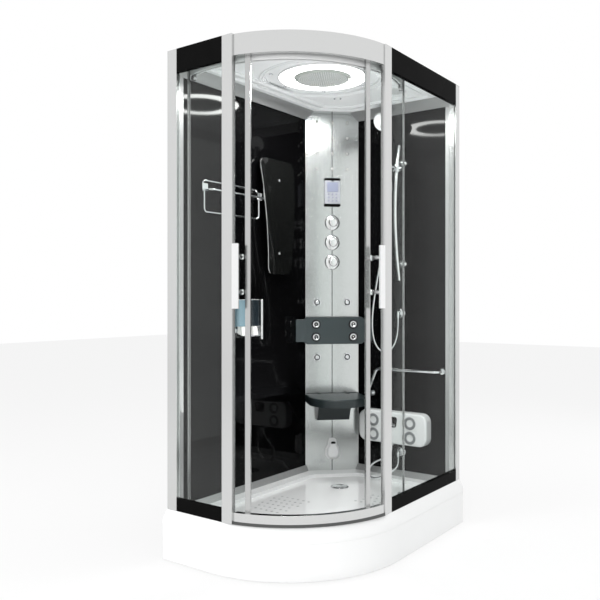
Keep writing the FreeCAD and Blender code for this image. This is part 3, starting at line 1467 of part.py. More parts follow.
def hand_shower():
    # The swivelling clip, the grip and the spray head.
    centre, lean = handset_axis()
    clip = rod(CLIP_R, centre - lean * (CLIP_H / 2), centre + lean * (CLIP_H / 2))
    pivot_start = RISER_S - PIVOT_W / 2 - RUN_GAP
    pivot = rod(PIVOT_R, vec(CLIP_S, -PIVOT_D, SLIDER_Z), vec(pivot_start, -PIVOT_D, SLIDER_Z))
    tail, neck = HANDSET_TAIL_L, HANDSET_GRIP_L
    grip = [(CLIP_R - 4, tail), (CLIP_R - 5, neck * 0.6)]
    grip = turned(
        [(0, 0), (HANDSET_TAIL_R, 0), *grip, (HANDSET_NECK_R, tail + neck), (0, tail + neck)],
        centre - lean * tail,
        lean,
    )
    face = vec(*HANDSET_FACE).normalize()
    r, t = HANDSET_HEAD_R, HANDSET_HEAD_T
    head_centre = centre + lean * (neck + r * 0.38)
    head = turned(
        [(0, t), (r - 6, t), (r - 3, t - 3), (r, t - 8), (r - 2, t - 13), (r * 0.55, 0), (0, 0)],
        head_centre - face * t * 0.6,
        face,
    )
    return on_wall(fuse([clip, pivot, grip, head]), "back")


def grab_bar():
    d, z = GRAB_D, GRAB_Z
    points = [
        vec(GRAB_RIGHT_S, 0, z),
        vec(GRAB_RIGHT_S, -d, z),
        vec(GRAB_BEND_S, -d, z),
        vec(GRAB_LEFT_S, -d, GRAB_LEFT_Z),
        vec(GRAB_LEFT_S, 0, GRAB_LEFT_Z),
    ]
    parts = [bar(points, GRAB_ROD, GRAB_BEND_R)]
    for s, height in ((GRAB_RIGHT_S, z), (GRAB_LEFT_S, GRAB_LEFT_Z)):
        r = GRAB_ROSE_R
        parts.append(disc([(0, 0), (r, 0), (r - 3, GRAB_ROSE_T), (0, GRAB_ROSE_T)], s, height))
    return on_wall(fuse(parts), "back")


def massager_nut():
    s = MASSAGER_S - NUT_OFFSET
    return s, MASSAGER_D / 2, MASSAGER_Z - NUT_L


def foot_massager():
    # A rounded housing with a hand hole between its two pairs of rings.
    half = MASSAGER_W / 2
    s = MASSAGER_S
    low, high = MASSAGER_Z, MASSAGER_Z + MASSAGER_H
    points = [(s - half, low), (s + half, low), (s + half, high), (s - half, high)]
    body = face_plate(points, MASSAGER_CORNER_R, 0, MASSAGER_D)
    rim = [e for e in body.Edges if abs(e.BoundBox.YMin + MASSAGER_D) < 1e-3 and e.BoundBox.YLength < 1e-3]
    body = body.makeFillet(10, rim)
    w = MASSAGER_HOLE_W / 2
    z0, z1 = MASSAGER_HOLE_Z, MASSAGER_HOLE_Z + MASSAGER_HOLE_H
    hole = [(s - w + MASSAGER_HOLE_TAPER, z0), (s + w - MASSAGER_HOLE_TAPER, z0), (s + w, z1), (s - w, z1)]
    body = body.cut(face_plate(hole, 6, -1, MASSAGER_D + 1))
    nut_s, nut_d, nut_z = massager_nut()
    nut = rod(NUT_R, vec(nut_s, -nut_d, nut_z), vec(nut_s, -nut_d, low + 5))
    return on_wall(fuse([body, nut]), "back")


def foot_rings():
    rings = []
    for side in (-1, 1):
        for z in RING_Z:
            d = MASSAGER_D
            r0, r1 = RING_BORE_R, RING_R
            top = d + RING_T
            points = [(r0, d), (r1, d), (r1, top - 2), (r1 - 3, top), (r0 + 2, top), (r0, d + 2)]
            rings.append(on_wall(disc(points, MASSAGER_S + side * RING_S, z), "back"))
    return group(rings)


def elbow_outlet(index):
    return vec(ELBOW_S[index], BACK_FACE - ELBOW_D, ELBOW_Z[index] - ELBOW_DROP)


def hose_elbows():
    pieces = []
    for s, z in zip(ELBOW_S, ELBOW_Z):
        r, t = ELBOW_ROSE_R, ELBOW_ROSE_T
        rose = disc([(0, 0), (r, 0), (r - 2, t - 2), (r - 6, t), (0, t)], s, z)
        arm = stud(ELBOW_R, s, z, 0, ELBOW_D)
        knee = Part.makeSphere(ELBOW_R, vec(s, -ELBOW_D, z))
        drop = rod(NUT_R, vec(s, -ELBOW_D, z), vec(s, -ELBOW_D, z - ELBOW_DROP))
        pieces.append(on_wall(fuse([rose, arm, knee, drop]), "back"))
    return group(pieces)


def hose_run(index, run):
    # The bends of a hose in the cabin, from its elbow's outlet.
    start = elbow_outlet(index)
    return [start] + [start + vec(along, -out, up) for along, out, up in run]


def shower_hose():
    # From the upper elbow, round a low loop and up to the tail of the handset.
    centre, lean = handset_axis()
    end = centre - lean * HANDSET_TAIL_L + vec(0, BACK_FACE, 0)
    return hose("shower_hose", hose_run(0, SHOWER_HOSE_RUN) + [end - lean * HOSE_END_RUN, end])


def massager_hose():
    # From the lower elbow down to the tray and back up to the foot massager.
    s, d, z = massager_nut()
    end = vec(s, BACK_FACE - d, z)
    return hose("massager_hose", hose_run(1, MASSAGER_HOSE_RUN) + [end - vec(0, 0, HOSE_RISE), end])


def build():
    parts = {
        "shower_tray": shower_tray(),
        "tray_apron": tray_apron(),
        "support_frame": support_frame(),
        "drain_trap": drain_trap(),
        "drain_cover": drain_cover(),
        "left_wall_glass": left_wall_glass(),
        "left_wall_frame": left_wall_frame(),
        "back_wall_glass": back_wall_glass(),
        "back_wall_frame": back_wall_frame(),
        "column_panels": column_panels(),
        "corner_posts": corner_posts(),
        "door_posts": door_posts(),
        "left_fixed_pane": fixed_pane("left"),
        "right_fixed_pane": fixed_pane("right"),
        "fascias": fascias(),
        "curved_top_rail": curved_rail(HEIGHT - TOP_RAIL_H, HEIGHT),
        "curved_bottom_rail": curved_rail(TRAY_TOP, TRAY_TOP + BOTTOM_RAIL_H),
        "door_tracks": door_tracks(),
        "roof_shell": roof_shell(),
        "roof_light_ring": roof_light_ring(),
        "rain_head": rain_head(),
        "exhaust_fan": exhaust_fan(),
        "water_jets": water_jets(),
        "massage_belt": massage_belt(),
        "control_panel": control_panel(),
        "mixer_valve": mixer_valve(),
        "steam_outlet": steam_outlet(),
        "steam_generator": steam_generator(),
        "seat_bracket": seat_bracket(),
        "seat": seat(),
        "towel_rack": towel_rack(),
        "wall_mirror": wall_mirror(),
        "soap_holder": soap_holder(),
        "soap_tanks": soap_tanks(),
        "riser_rail": riser_rail(),
        "handset_slider": handset_slider(),
        "hand_shower": hand_shower(),
        "grab_bar": grab_bar(),
        "foot_massager": foot_massager(),
        "foot_rings": foot_rings(),
        "hose_elbows": hose_elbows(),
        "shower_hose": shower_hose(),
        "massager_hose": massager_hose(),
    }
    for name, z in zip(KNOB_NAMES, KNOB_Z):
        parts[name] = knob(z)
    for name, s in zip(("soap_lever_left", "soap_lever_right"), SOAP_S):
        parts[name] = soap_lever(s)
    for side, lead, sign in (("left", LEFT_LEAD, 1), ("right", RIGHT_LEAD, -1)):
        parts[side + "_door_glass"] = door_glass(lead, sign)
        parts[side + "_door_trim"] = door_trim(lead, sign)
        parts[side + "_door_handle"] = door_handle(lead, sign)
        parts[side + "_lead_roller"] = door_roller(lead - sign * LEAD_HANGER_ANGLE)
        parts[side + "_trail_roller"] = door_roller(lead - sign * TRAIL_HANGER_ANGLE)
    return parts


def main():
    os.makedirs("parts", exist_ok=True)
    for name, shape in build().items():
        if not shape.isValid():
            print("not valid", name)
        if shape.Volume <= 0:
            print("no volume", name)
        shape.exportStep(os.path.join("parts", name + ".step"))
        print(name, len(shape.Solids), round(shape.Volume / 1000, 1))


main()
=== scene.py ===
import math
import bmesh
import bpy
from mathutils import Matrix, Vector


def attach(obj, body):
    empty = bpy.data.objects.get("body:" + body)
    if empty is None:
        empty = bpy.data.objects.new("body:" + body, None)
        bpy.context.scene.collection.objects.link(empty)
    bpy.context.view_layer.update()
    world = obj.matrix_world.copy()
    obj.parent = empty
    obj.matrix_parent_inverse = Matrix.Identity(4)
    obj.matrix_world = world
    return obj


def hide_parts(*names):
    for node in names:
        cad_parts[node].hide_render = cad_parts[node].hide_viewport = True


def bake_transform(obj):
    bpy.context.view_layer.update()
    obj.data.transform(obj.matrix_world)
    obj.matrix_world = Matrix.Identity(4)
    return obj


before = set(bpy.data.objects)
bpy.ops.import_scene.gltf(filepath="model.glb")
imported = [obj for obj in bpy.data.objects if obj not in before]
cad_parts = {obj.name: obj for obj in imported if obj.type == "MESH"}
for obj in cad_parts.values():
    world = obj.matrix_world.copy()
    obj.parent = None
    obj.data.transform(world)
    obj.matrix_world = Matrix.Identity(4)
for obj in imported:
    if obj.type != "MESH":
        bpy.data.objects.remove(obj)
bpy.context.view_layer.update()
scene = bpy.context.scene
for old in [o for o in scene.objects if o.type in ("CAMERA", "LIGHT")]:
    bpy.data.objects.remove(old)
print("frame loaded")

# Camera, at the photograph's standpoint

view = {
    "place": (1.81566, -2.66915, 1.08060),
    "turn": 36.17,
    "lens": 43.31,
    "shift": -0.0033,
    "sensor": 36,
    "near": 0.05,
    "far": 60,
}
cameraData = bpy.data.cameras.new("viewCamera")
camera = bpy.data.objects.new("viewCamera", cameraData)
scene.collection.objects.link(camera)
camera.location = view["place"]
camera.rotation_euler = (math.radians(90), 0, math.radians(view["turn"]))
cameraData.sensor_width = view["sensor"]
cameraData.lens = view["lens"]
cameraData.shift_y = view["shift"]
cameraData.clip_start = view["near"]
cameraData.clip_end = view["far"]
scene.camera = camera

# Nodes, for finishes and trees alike


def plug(tree, node, sockets):
    # Each value is a socket to link from, or what the input is set to.
    for key, value in sockets.items():
        if isinstance(value, bpy.types.NodeSocket):
            tree.links.new(value, node.inputs[key])
        else:
            node.inputs[key].default_value = value


def addNode(tree, kind, sockets=None, **settings):
    node = tree.nodes.new(kind)
    for key, value in settings.items():
        setattr(node, key, value)
    plug(tree, node, sockets or {})
    return node


def calc(tree, operation, first, second=0.0):
    return addNode(tree, "ShaderNodeMath", {0: first, 1: second}, operation=operation).outputs[0]


# Finishes

finishes = {
    "whiteAcrylic": {
        "colour": (0.86, 0.865, 0.865), "shade": (0.84, 0.845, 0.845), "grain": 5,
        "rough": (0.09, 0.16), "bump": 0.01, "coat": 0.3,
    },
    "satinAluminium": {
        "colour": (0.68, 0.685, 0.682), "shade": (0.675, 0.68, 0.677), "grain": 60,
        "rough": (0.22, 0.235), "metal": 1.0,
    },
    # Wall frames: a darker, less metallic copy of the satin aluminium; its colour is painted shade of the
    # coved rails.
    "coveAluminiumShade": {
        "colour": (0.43, 0.435, 0.435), "shade": (0.42, 0.425, 0.425), "grain": 60,
        "rough": (0.28, 0.31), "metal": 0.45,
    },
    "stripAluminium": {
        "colour": (0.56, 0.565, 0.562), "shade": (0.55, 0.555, 0.552), "grain": (60, 60, 3),
        "rough": (0.21, 0.23), "metal": 1.0,
    },
    "trackWhite": {
        "colour": (0.66, 0.665, 0.665), "shade": (0.64, 0.645, 0.645), "grain": 60,
        "rough": (0.35, 0.42),
    },
    "blackWallGlass": {
        "colour": (0.0012, 0.0012, 0.0013), "shade": (0.002, 0.002, 0.0022), "grain": 2,
        "rough": (0.055, 0.07), "ior": 1.20,
    },
    "blackGloss": {
        "colour": (0.004, 0.004, 0.004), "shade": (0.006, 0.006, 0.006), "grain": 14,
        "rough": (0.12, 0.22), "bump": 0.01, "ior": 1.06,
    },
    "brushedSteel": {
        "colour": (0.67, 0.69, 0.683), "shade": (0.66, 0.68, 0.673), "grain": (900, 900, 3.0),
        "rough": (0.17, 0.20), "bump": 0.002, "metal": 1.0,
    },
    "chrome": {
        "colour": (0.84, 0.85, 0.86), "shade": (0.80, 0.81, 0.82), "grain": 30,
        "rough": (0.04, 0.10), "metal": 1.0,
    },
    "satinChrome": {
        "colour": (0.93, 0.935, 0.935), "shade": (0.91, 0.915, 0.915), "grain": 60,
        "rough": (0.16, 0.20), "metal": 1.0,
    },
    "slatePlastic": {
        "colour": (0.0195, 0.0275, 0.029), "shade": (0.0160, 0.0225, 0.024), "grain": 240,
        "rough": (0.30, 0.42), "bump": 0.06,
    },
    "whitePlastic": {
        "colour": (0.78, 0.79, 0.79), "shade": (0.76, 0.77, 0.77), "grain": 160,
        "rough": (0.22, 0.30), "bump": 0.01,
    },
    "roofAcrylic": {
        "colour": (0.86, 0.875, 0.88), "shade": (0.84, 0.855, 0.86), "grain": 8,
        "rough": (0.30, 0.36), "ior": 1.3,
    },
    "sprayFace": {
        "colour": (0.46, 0.49, 0.46), "shade": (0.38, 0.41, 0.385), "grain": 240,
        "rough": (0.30, 0.40), "bump": 0.02,
    },
    "greyRubber": {
        "colour": (0.22, 0.23, 0.235), "shade": (0.18, 0.19, 0.195), "grain": 300,
        "rough": (0.5, 0.65), "bump": 0.10,
    },
    # Black rubber, also used for the jets' dark rings and dots that are painted shade of recesses, gaps and
    # holes.
    "blackRubberAndShade": {
        "colour": (0.004, 0.004, 0.004), "shade": (0.006, 0.006, 0.006), "grain": 300,
        "rough": (0.45, 0.6), "bump": 0.05, "ior": 1.3,
    },
    "nylon": {
        "colour": (0.60, 0.60, 0.58), "shade": (0.55, 0.55, 0.53), "grain": 120,
        "rough": (0.3, 0.42), "bump": 0.04,
    },
    "frameSteel": {
        "colour": (0.42, 0.43, 0.44), "shade": (0.33, 0.34, 0.35), "grain": 45,
        "rough": (0.35, 0.55), "bump": 0.06, "metal": 0.85,
    },
    "panelCase": {
        "colour": (0.26, 0.27, 0.29), "shade": (0.245, 0.255, 0.275), "grain": 150,
        "rough": (0.22, 0.30), "bump": 0.03,
    },
    "panelInk": {
        "colour": (0.17, 0.18, 0.23), "shade": (0.15, 0.16, 0.21), "grain": 150,
        "rough": (0.30, 0.40), "bump": 0.03,
    },
    "blackMirror": {
        "colour": (0.0035, 0.0038, 0.0036), "shade": (0.005, 0.0053, 0.0051), "grain": 3,
        "rough": (0.03, 0.05), "ior": 1.3,
    },
    "paleSoap": {
        "colour": (0.25, 0.37, 0.43), "shade": (0.22, 0.345, 0.405), "grain": 12,
        "rough": (0.08, 0.14), "see": 0.45,
    },
    "darkSoap": {
        "colour": (0.014, 0.019, 0.023), "shade": (0.011, 0.016, 0.020), "grain": 12,
        "rough": (0.08, 0.14), "see": 0.1,
    },
    # Rail seal: its dark colour is partly the rubber's own and partly painted shadow of the line under the
    # rail.
    "sealAndShadowRubber": {
        "colour": (0.066, 0.068, 0.067), "shade": (0.058, 0.060, 0.059), "grain": 200,
        "rough": (0.35, 0.45),
    },
    # Tray studs: grey that is painted shade on studs of the tray's own white acrylic.
    "studShadeGrey": {
        "colour": (0.38, 0.39, 0.39), "shade": (0.34, 0.35, 0.35), "grain": 90,
        "rough": (0.25, 0.35),
    },
}
clearPanes = {"frontGlass": 1.26, "sideGlass": 1.09, "doorGlass": 1.05}  # how strongly each mirrors
paneTint = (0.975, 0.995, 0.988, 1)
paneShadow = (0.95, 0.965, 0.96, 1)
glows = {
    # colour, strength, and how much stronger in polished faces
    "ringGlow": ((1.0, 0.995, 0.98), 3.0, 60.0),
    "spotGlow": ((0.9, 0.93, 1.0), 0.5, 0.0),
    "displayGlow": ((0.180, 0.198, 0.262), 0.03, 0.0),
}
grainDetail = 3.0
grainSpan = (0.3, 0.7)  # the part of the grain that gloss runs over
reliefDepth = 0.001
coatRough = 0.05
glowGrain, glowShade, glowRough = 25.0, 0.94, 0.35
finishInks = {}


def newInk(name):
    ink = bpy.data.materials.new(name)
    ink.use_nodes = True
    return ink, ink.node_tree, ink.node_tree.nodes["Principled BSDF"]


def grainTone(tree, grain, colour, shade):
    mixed = addNode(tree, "ShaderNodeMix", {0: grain, 6: (*colour, 1), 7: (*shade, 1)}, data_type="RGBA")
    return mixed.outputs[2]


def anyRay(tree, kinds):
    # 1 for a ray of one of these kinds, 0 for the others.
    path = addNode(tree, "ShaderNodeLightPath")
    found = path.outputs[kinds[0]]
    for kind in kinds[1:]:
        found = calc(tree, "MAXIMUM", found, path.outputs[kind])
    return found


def blendSurface(tree, share, first, second, output="Material Output"):
    blend = addNode(tree, "ShaderNodeMixShader", {0: share, 1: first.outputs[0], 2: second.outputs[0]})
    plug(tree, tree.nodes[output], {"Surface": blend.outputs[0]})


def makeFinish(name, spec):
    # Colour, gloss and relief all come from one grain, stretched as the real surface's is.
    ink, tree, shader = newInk(name)
    coords = addNode(tree, "ShaderNodeTexCoord").outputs["Object"]
    even = isinstance(spec["grain"], int)
    scale = (spec["grain"],) * 3 if even else spec["grain"]
    stretch = addNode(tree, "ShaderNodeMapping", {"Vector": coords, "Scale": scale}).outputs["Vector"]
    grain = addNode(tree, "ShaderNodeTexNoise", {
        "Vector": stretch, "Scale": 1.0, "Detail": grainDetail,
    }).outputs["Fac"]
    gloss = addNode(tree, "ShaderNodeMapRange", {
        "Value": grain, "From Min": grainSpan[0], "From Max": grainSpan[1],
        "To Min": spec["rough"][0], "To Max": spec["rough"][1],
    })
    plug(tree, shader, {
        "Base Color": grainTone(tree, grain, spec["colour"], spec["shade"]),
        "Roughness": gloss.outputs["Result"],
        "Metallic": spec.get("metal", 0.0),
        "IOR": spec.get("ior", 1.5),
        "Coat Weight": spec.get("coat", 0.0),
        "Coat Roughness": coatRough,
        "Transmission Weight": spec.get("see", 0.0),
    })
    if "bump" in spec:
        relief = addNode(tree, "ShaderNodeBump", {
            "Height": grain, "Strength": spec["bump"], "Distance": reliefDepth,
        })
        plug(tree, shader, {"Normal": relief.outputs["Normal"]})
    return ink


def makeClearGlass(name, gloss):
    # Lamps pass straight through, so what stands behind a pane is lit as it is outside.
    ink, tree, shader = newInk(name)
    plug(tree, shader, {
        "Base Color": paneTint, "Roughness": 0.0, "IOR": gloss, "Transmission Weight": 1.0,
    })
    through = addNode(tree, "ShaderNodeBsdfTransparent", {"Color": paneShadow})
    blendSurface(tree, anyRay(tree, ("Is Shadow Ray", "Is Diffuse Ray")), shader, through)
    return ink


def makeGlow(name, colour, strength, mirrored):
    # A lit plastic. Polished faces see it brighter by mirrored, as they see a real lamp.
    ink, tree, shader = newInk(name)
    coords = addNode(tree, "ShaderNodeTexCoord").outputs["Object"]
    grain = addNode(tree, "ShaderNodeTexNoise", {"Vector": coords, "Scale": glowGrain}).outputs["Fac"]
    plug(tree, shader, {
        "Base Color": grainTone(tree, grain, colour, [c * glowShade for c in colour]),
        "Roughness": glowRough,
        "Emission Color": (*colour, 1),
        "Emission Strength": strength,
    })
    if mirrored:
        power = addNode(tree, "ShaderNodeMath", {
            0: anyRay(tree, ("Is Glossy Ray",)), 1: mirrored, 2: strength,
        }, operation="MULTIPLY_ADD")
        plug(tree, shader, {"Emission Strength": power.outputs[0]})
    return ink


for finishName, finishSpec in finishes.items():
    finishInks[finishName] = makeFinish(finishName, finishSpec)
for paneName, paneGloss in clearPanes.items():
    finishInks[paneName] = makeClearGlass(paneName, paneGloss)
for glowName, glowSpec in glows.items():
    finishInks[glowName] = makeGlow(glowName, *glowSpec)
print("finishes made")

# Places

wallPlaces = {
    "left": Matrix.Translation((-0.375, 0, 0)) @ Matrix.Rotation(math.radians(90), 4, "Z"),
    "column": Matrix.Translation((-0.27565, 0.47565, 0)) @ Matrix.Rotation(math.radians(45), 4, "Z"),
    "back": Matrix.Translation((0, 0.575, 0)),
}
outOfWall = Matrix(((1, 0, 0, 0), (0, 0, -1, 0), (0, 1, 0, 0), (0, 0, 0, 1)))


def wallSpot(wall, along, height, depth=0.0):
    # A piece made on XY with +Z towards the room goes to this place on a wall.
    return wallPlaces[wall] @ Matrix.Translation((along, -depth, height)) @ outOfWall


def wallSpots(wall, places, depth):
    # The same places as pointCarrier reads them: a point and the way out of the wall.
    spots = []
    for along, height in places:
        there = wallSpot(wall, along, height, depth)
        spots.append((there.translation, there.to_3x3() @ Vector((0, 0, 1))))
    return spots


def pieceFromMesh(name, mesh, ink, place=None, body="cabin", sharp=40):
    # Puts a mesh in its place, paints it and ties it to what it moves with.
    if place is not None:
        mesh.transform(place)
    mesh.materials.clear()
    mesh.materials.append(finishInks[ink])
    mesh.shade_smooth()
    mesh.set_sharp_from_angle(angle=math.radians(sharp))
    piece = bpy.data.objects.new(name, mesh)
    scene.collection.objects.link(piece)
    if body:
        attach(piece, body)
    return piece


def meshFromForm(form, name):
    bmesh.ops.recalc_face_normals(form, faces=form.faces)
    mesh = bpy.data.meshes.new(name)
    form.to_mesh(mesh)
    form.free()
    return mesh


def meshFromRings(rings, closedLoop=False):
    # Skins a run of equal rings of points, and closes its ends or joins the last to the first.
    form = bmesh.new()
    rows = [[form.verts.new(p) for p in ring] for ring in rings]
    pairs = list(zip(rows, rows[1:]))
    if closedLoop:
        pairs.append((rows[-1], rows[0]))
    for low, high in pairs:
        for i in range(len(low)):
            j = (i + 1) % len(low)
            form.faces.new((low[i], low[j], high[j], high[i]))
    if not closedLoop:
        form.faces.new(list(reversed(rows[0])))
        form.faces.new(rows[-1])
    bmesh.ops.remove_doubles(form, verts=form.verts, dist=1e-7)
    return meshFromForm(form, "rings")


def turnedMesh(profile, steps):
    # A turned form about Z: each point is a radius and a height.
    form = bmesh.new()
    rows = []
    for radius, height in profile:
        if radius < 1e-6:
            rows.append([form.verts.new((0, 0, height))])
            continue
        row = []
        for i in range(steps):
            angle = 2 * math.pi * i / steps
            row.append(form.verts.new((radius * math.cos(angle), radius * math.sin(angle), height)))
        rows.append(row)
    pairs = list(zip(rows, rows[1:]))
    if len(rows[0]) > 1:
        pairs.append((rows[-1], rows[0]))
    for low, high in pairs:
        for i in range(steps):
            j = (i + 1) % steps
            corners = [low[i % len(low)], low[j % len(low)], high[j % len(high)], high[i % len(high)]]
            corners = [c for n, c in enumerate(corners) if c not in corners[:n]]
            if len(corners) > 2:
                form.faces.new(corners)
    return meshFromForm(form, "turned")


def roundedLoop(points, radii, steps=6):
    # A flat outline with an arc of the given radius at each corner.
    loop = []
    for i, here in enumerate(points):
        here = Vector(here)
        back = (Vector(points[i - 1]) - here).normalized()
        ahead = (Vector(points[(i + 1) % len(points)]) - here).normalized()
        radius = radii[i] if isinstance(radii, (list, tuple)) else radii
        if radius <= 0:
            loop.append(here)
            continue
        half = back.angle(ahead) / 2
        middle = here + (back + ahead).normalized() * (radius / math.sin(half))
        start = here + back * (radius / math.tan(half)) - middle
        end = here + ahead * (radius / math.tan(half)) - middle
        sweep = start.angle_signed(end)
        for k in range(steps + 1):
            turn = -sweep * k / steps
            c, s = math.cos(turn), math.sin(turn)
            loop.append(middle + Vector((start.x * c - start.y * s, start.x * s + start.y * c)))
    return loop


def flatLoop(x0, x1, y0, y1, radii):
    return roundedLoop([(x0, y0), (x1, y0), (x1, y1), (x0, y1)], radii)


def slabMesh(loop, low, high, edge, steps=3):
    # A plate from an outline on XY, with its upper edge rolled over.
    centre = sum(loop, Vector((0, 0))) / len(loop)
    rings = [[Vector((p.x, p.y, low)) for p in loop]]
    for k in range(steps + 1):
        turn = math.pi / 2 * k / steps
        draw, rise = edge * (1 - math.cos(turn)), edge * math.sin(turn)
        ring = []
        for i, p in enumerate(loop):
            along = (loop[(i + 1) % len(loop)] - loop[i - 1]).normalized()
            inward = Vector((-along.y, along.x))
            if inward.dot(centre - p) < 0:
                inward = -inward
            spot = p + inward * draw
            ring.append(Vector((spot.x, spot.y, high - edge + rise)))
        rings.append(ring)
    return meshFromRings(rings)


def bandMesh(loopAt, profile):
    # A moulding or rim: each point of its section is an inset of the outline, and a height.
    rings = []
    for inset, height in profile:
        rings.append([Vector((p.x, p.y, height)) for p in loopAt(inset)])
    return meshFromRings(rings, closedLoop=True)


# Trees for what repeats

socketKinds = {
    float: "NodeSocketFloat", int: "NodeSocketInt",
    bpy.types.Object: "NodeSocketObject", bpy.types.Material: "NodeSocketMaterial",
}


def newTree(name, inputs):
    tree = bpy.data.node_groups.new(name, "GeometryNodeTree")
    tree.interface.new_socket("Geometry", in_out="INPUT", socket_type="NodeSocketGeometry")
    tree.interface.new_socket("Geometry", in_out="OUTPUT", socket_type="NodeSocketGeometry")
    for label, value in inputs.items():
        socket = tree.interface.new_socket(label, in_out="INPUT", socket_type=socketKinds[type(value)])
        if isinstance(value, (float, int)):
            socket.default_value = value
    return tree, tree.nodes.new("NodeGroupInput"), tree.nodes.new("NodeGroupOutput")


def finishTree(tree, start, end, geometry):
    real = addNode(tree, "GeometryNodeRealizeInstances", {"Geometry": geometry})
    painted = addNode(tree, "GeometryNodeSetMaterial", {
        "Geometry": real.outputs[0], "Material": start.outputs["Finish"],
    })
    tree.links.new(painted.outputs[0], end.inputs["Geometry"])
    return tree


def conesAt(tree, start, end, count, x, y, sides):
    # A small cone at each of count points, placed by formulas on the point's number.
    points = addNode(tree, "GeometryNodePoints", {"Count": count})
    spot = addNode(tree, "ShaderNodeCombineXYZ", {"X": x, "Y": y})
    placed = addNode(tree, "GeometryNodeSetPosition", {
        "Geometry": points.outputs[0], "Position": spot.outputs[0],
    })
    cone = addNode(tree, "GeometryNodeMeshCone", {
        "Vertices": sides, "Radius Top": start.outputs["Tip Radius"],
        "Radius Bottom": start.outputs["Foot Radius"], "Depth": start.outputs["Height"],
    })
    copies = addNode(tree, "GeometryNodeInstanceOnPoints", {
        "Points": placed.outputs[0], "Instance": cone.outputs[0],
    })
    return finishTree(tree, start, end, copies.outputs[0])


def hexagonTree(sizes):
    # One cone in the middle, and rings of six, twelve, eighteen and so on about it.
    tree, start, end = newTree("sprayHoles", sizes)
    index = addNode(tree, "GeometryNodeInputIndex").outputs[0]
    # Ring n comes after the middle one and the 3n(n - 1) of the rings inside it.
    root = calc(tree, "SQRT", calc(tree, "ADD", calc(tree, "MULTIPLY", index, 12.0), 9.0))
    ring = calc(tree, "CEIL", calc(tree, "DIVIDE", calc(tree, "SUBTRACT", root, 3.0), 6.0))
    before = calc(tree, "MULTIPLY", calc(tree, "MULTIPLY", ring, 3.0), calc(tree, "SUBTRACT", ring, 1.0))
    place = calc(tree, "SUBTRACT", calc(tree, "SUBTRACT", index, before), 1.0)
    share = calc(tree, "DIVIDE", place, calc(tree, "MAXIMUM", calc(tree, "MULTIPLY", ring, 6.0), 1.0))
    angle = calc(tree, "MULTIPLY", share, 2 * math.pi)
    radius = calc(tree, "MULTIPLY", ring, start.outputs["Ring Pitch"])
    x = calc(tree, "MULTIPLY", radius, calc(tree, "COSINE", angle))
    y = calc(tree, "MULTIPLY", radius, calc(tree, "SINE", angle))
    return conesAt(tree, start, end, start.outputs["Count"], x, y, sides=8)


def gridTree(sizes):
    # Rows of cones on a field, each second row moved by a share of the pitch.
    tree, start, end = newTree("studField", sizes)
    across = start.outputs["Across"]
    count = calc(tree, "MULTIPLY", across, start.outputs["Along"])
    index = addNode(tree, "GeometryNodeInputIndex").outputs[0]
    row = calc(tree, "FLOOR", calc(tree, "DIVIDE", index, across))
    column = calc(tree, "SUBTRACT", index, calc(tree, "MULTIPLY", row, across))
    moved = calc(tree, "MULTIPLY", calc(tree, "MODULO", row, 2.0), start.outputs["Stagger"])
    x = calc(tree, "MULTIPLY", calc(tree, "ADD", column, moved), start.outputs["Pitch Across"])
    y = calc(tree, "MULTIPLY", row, start.outputs["Pitch Along"])
    return conesAt(tree, start, end, count, x, y, sides=12)


def copyTree(sizes):
    # One made piece at each point of the carrier, facing along the point's own direction.
    tree, start, end = newTree("pieceCopies", sizes)
    piece = addNode(tree, "GeometryNodeObjectInfo", {"Object": start.outputs["Piece"]})
    aim = addNode(tree, "GeometryNodeInputNamedAttribute", {"Name": "aim"}, data_type="FLOAT_VECTOR")
    turn = addNode(tree, "FunctionNodeAlignRotationToVector", {"Vector": aim.outputs[0]}, axis="Z")
    copies = addNode(tree, "GeometryNodeInstanceOnPoints", {
        "Points": start.outputs["Geometry"], "Instance": piece.outputs["Geometry"],
        "Rotation": turn.outputs[0],
    })
    return finishTree(tree, start, end, copies.outputs[0])


hoseSides = 14
ringsPerRib = 4


def hoseTree(sizes):
    # A round hose whose wound armour rises and falls once in each pitch.
    tree, start, end = newTree("woundHose", sizes)
    even = addNode(tree, "GeometryNodeResampleCurve", {
        "Curve": start.outputs["Geometry"],
        "Length": calc(tree, "MULTIPLY", start.outputs["Rib Pitch"], 1 / ringsPerRib),
    }, mode="LENGTH")
    index = addNode(tree, "GeometryNodeInputIndex").outputs[0]
    wave = calc(tree, "SINE", calc(tree, "MULTIPLY", index, 2 * math.pi / ringsPerRib))
    swell = calc(tree, "MULTIPLY", calc(tree, "SUBTRACT", wave, 1.0), start.outputs["Rib Depth"])
    circle = addNode(tree, "GeometryNodeCurvePrimitiveCircle", {"Resolution": hoseSides, "Radius": 1.0})
    swept = addNode(tree, "GeometryNodeCurveToMesh", {
        "Curve": even.outputs[0], "Profile Curve": circle.outputs[0], "Fill Caps": True,
        "Scale": calc(tree, "ADD", start.outputs["Radius"], swell),
    })
    return finishTree(tree, start, end, swept.outputs[0])


def finalMesh(thing):
    # What a modifier or a spline comes to, as a plain mesh.
    return bpy.data.meshes.new_from_object(thing.evaluated_get(bpy.context.evaluated_depsgraph_get()))


def grownMesh(makeTree, sizes, carrier=None):
    # Grows a tree on a carrier, which is cleared away once its mesh is read.
    tree = makeTree(sizes)
    holder = carrier or bpy.data.objects.new("holder", bpy.data.meshes.new("holder"))
    if holder.name not in scene.collection.objects:
        scene.collection.objects.link(holder)
    grower = holder.modifiers.new("grow", "NODES")
    grower.node_group = tree
    for item in tree.interface.items_tree:
        if item.in_out == "INPUT" and item.name in sizes:
            grower[item.identifier] = sizes[item.name]
    mesh = finalMesh(holder)
    holder.modifiers.clear()
    bpy.data.objects.remove(holder)
    return mesh


def grownPiece(name, makeTree, sizes, ink, place, body="cabin"):
    mesh = grownMesh(makeTree, {**sizes, "Finish": finishInks[ink]})
    return pieceFromMesh(name, mesh, ink, place, body)


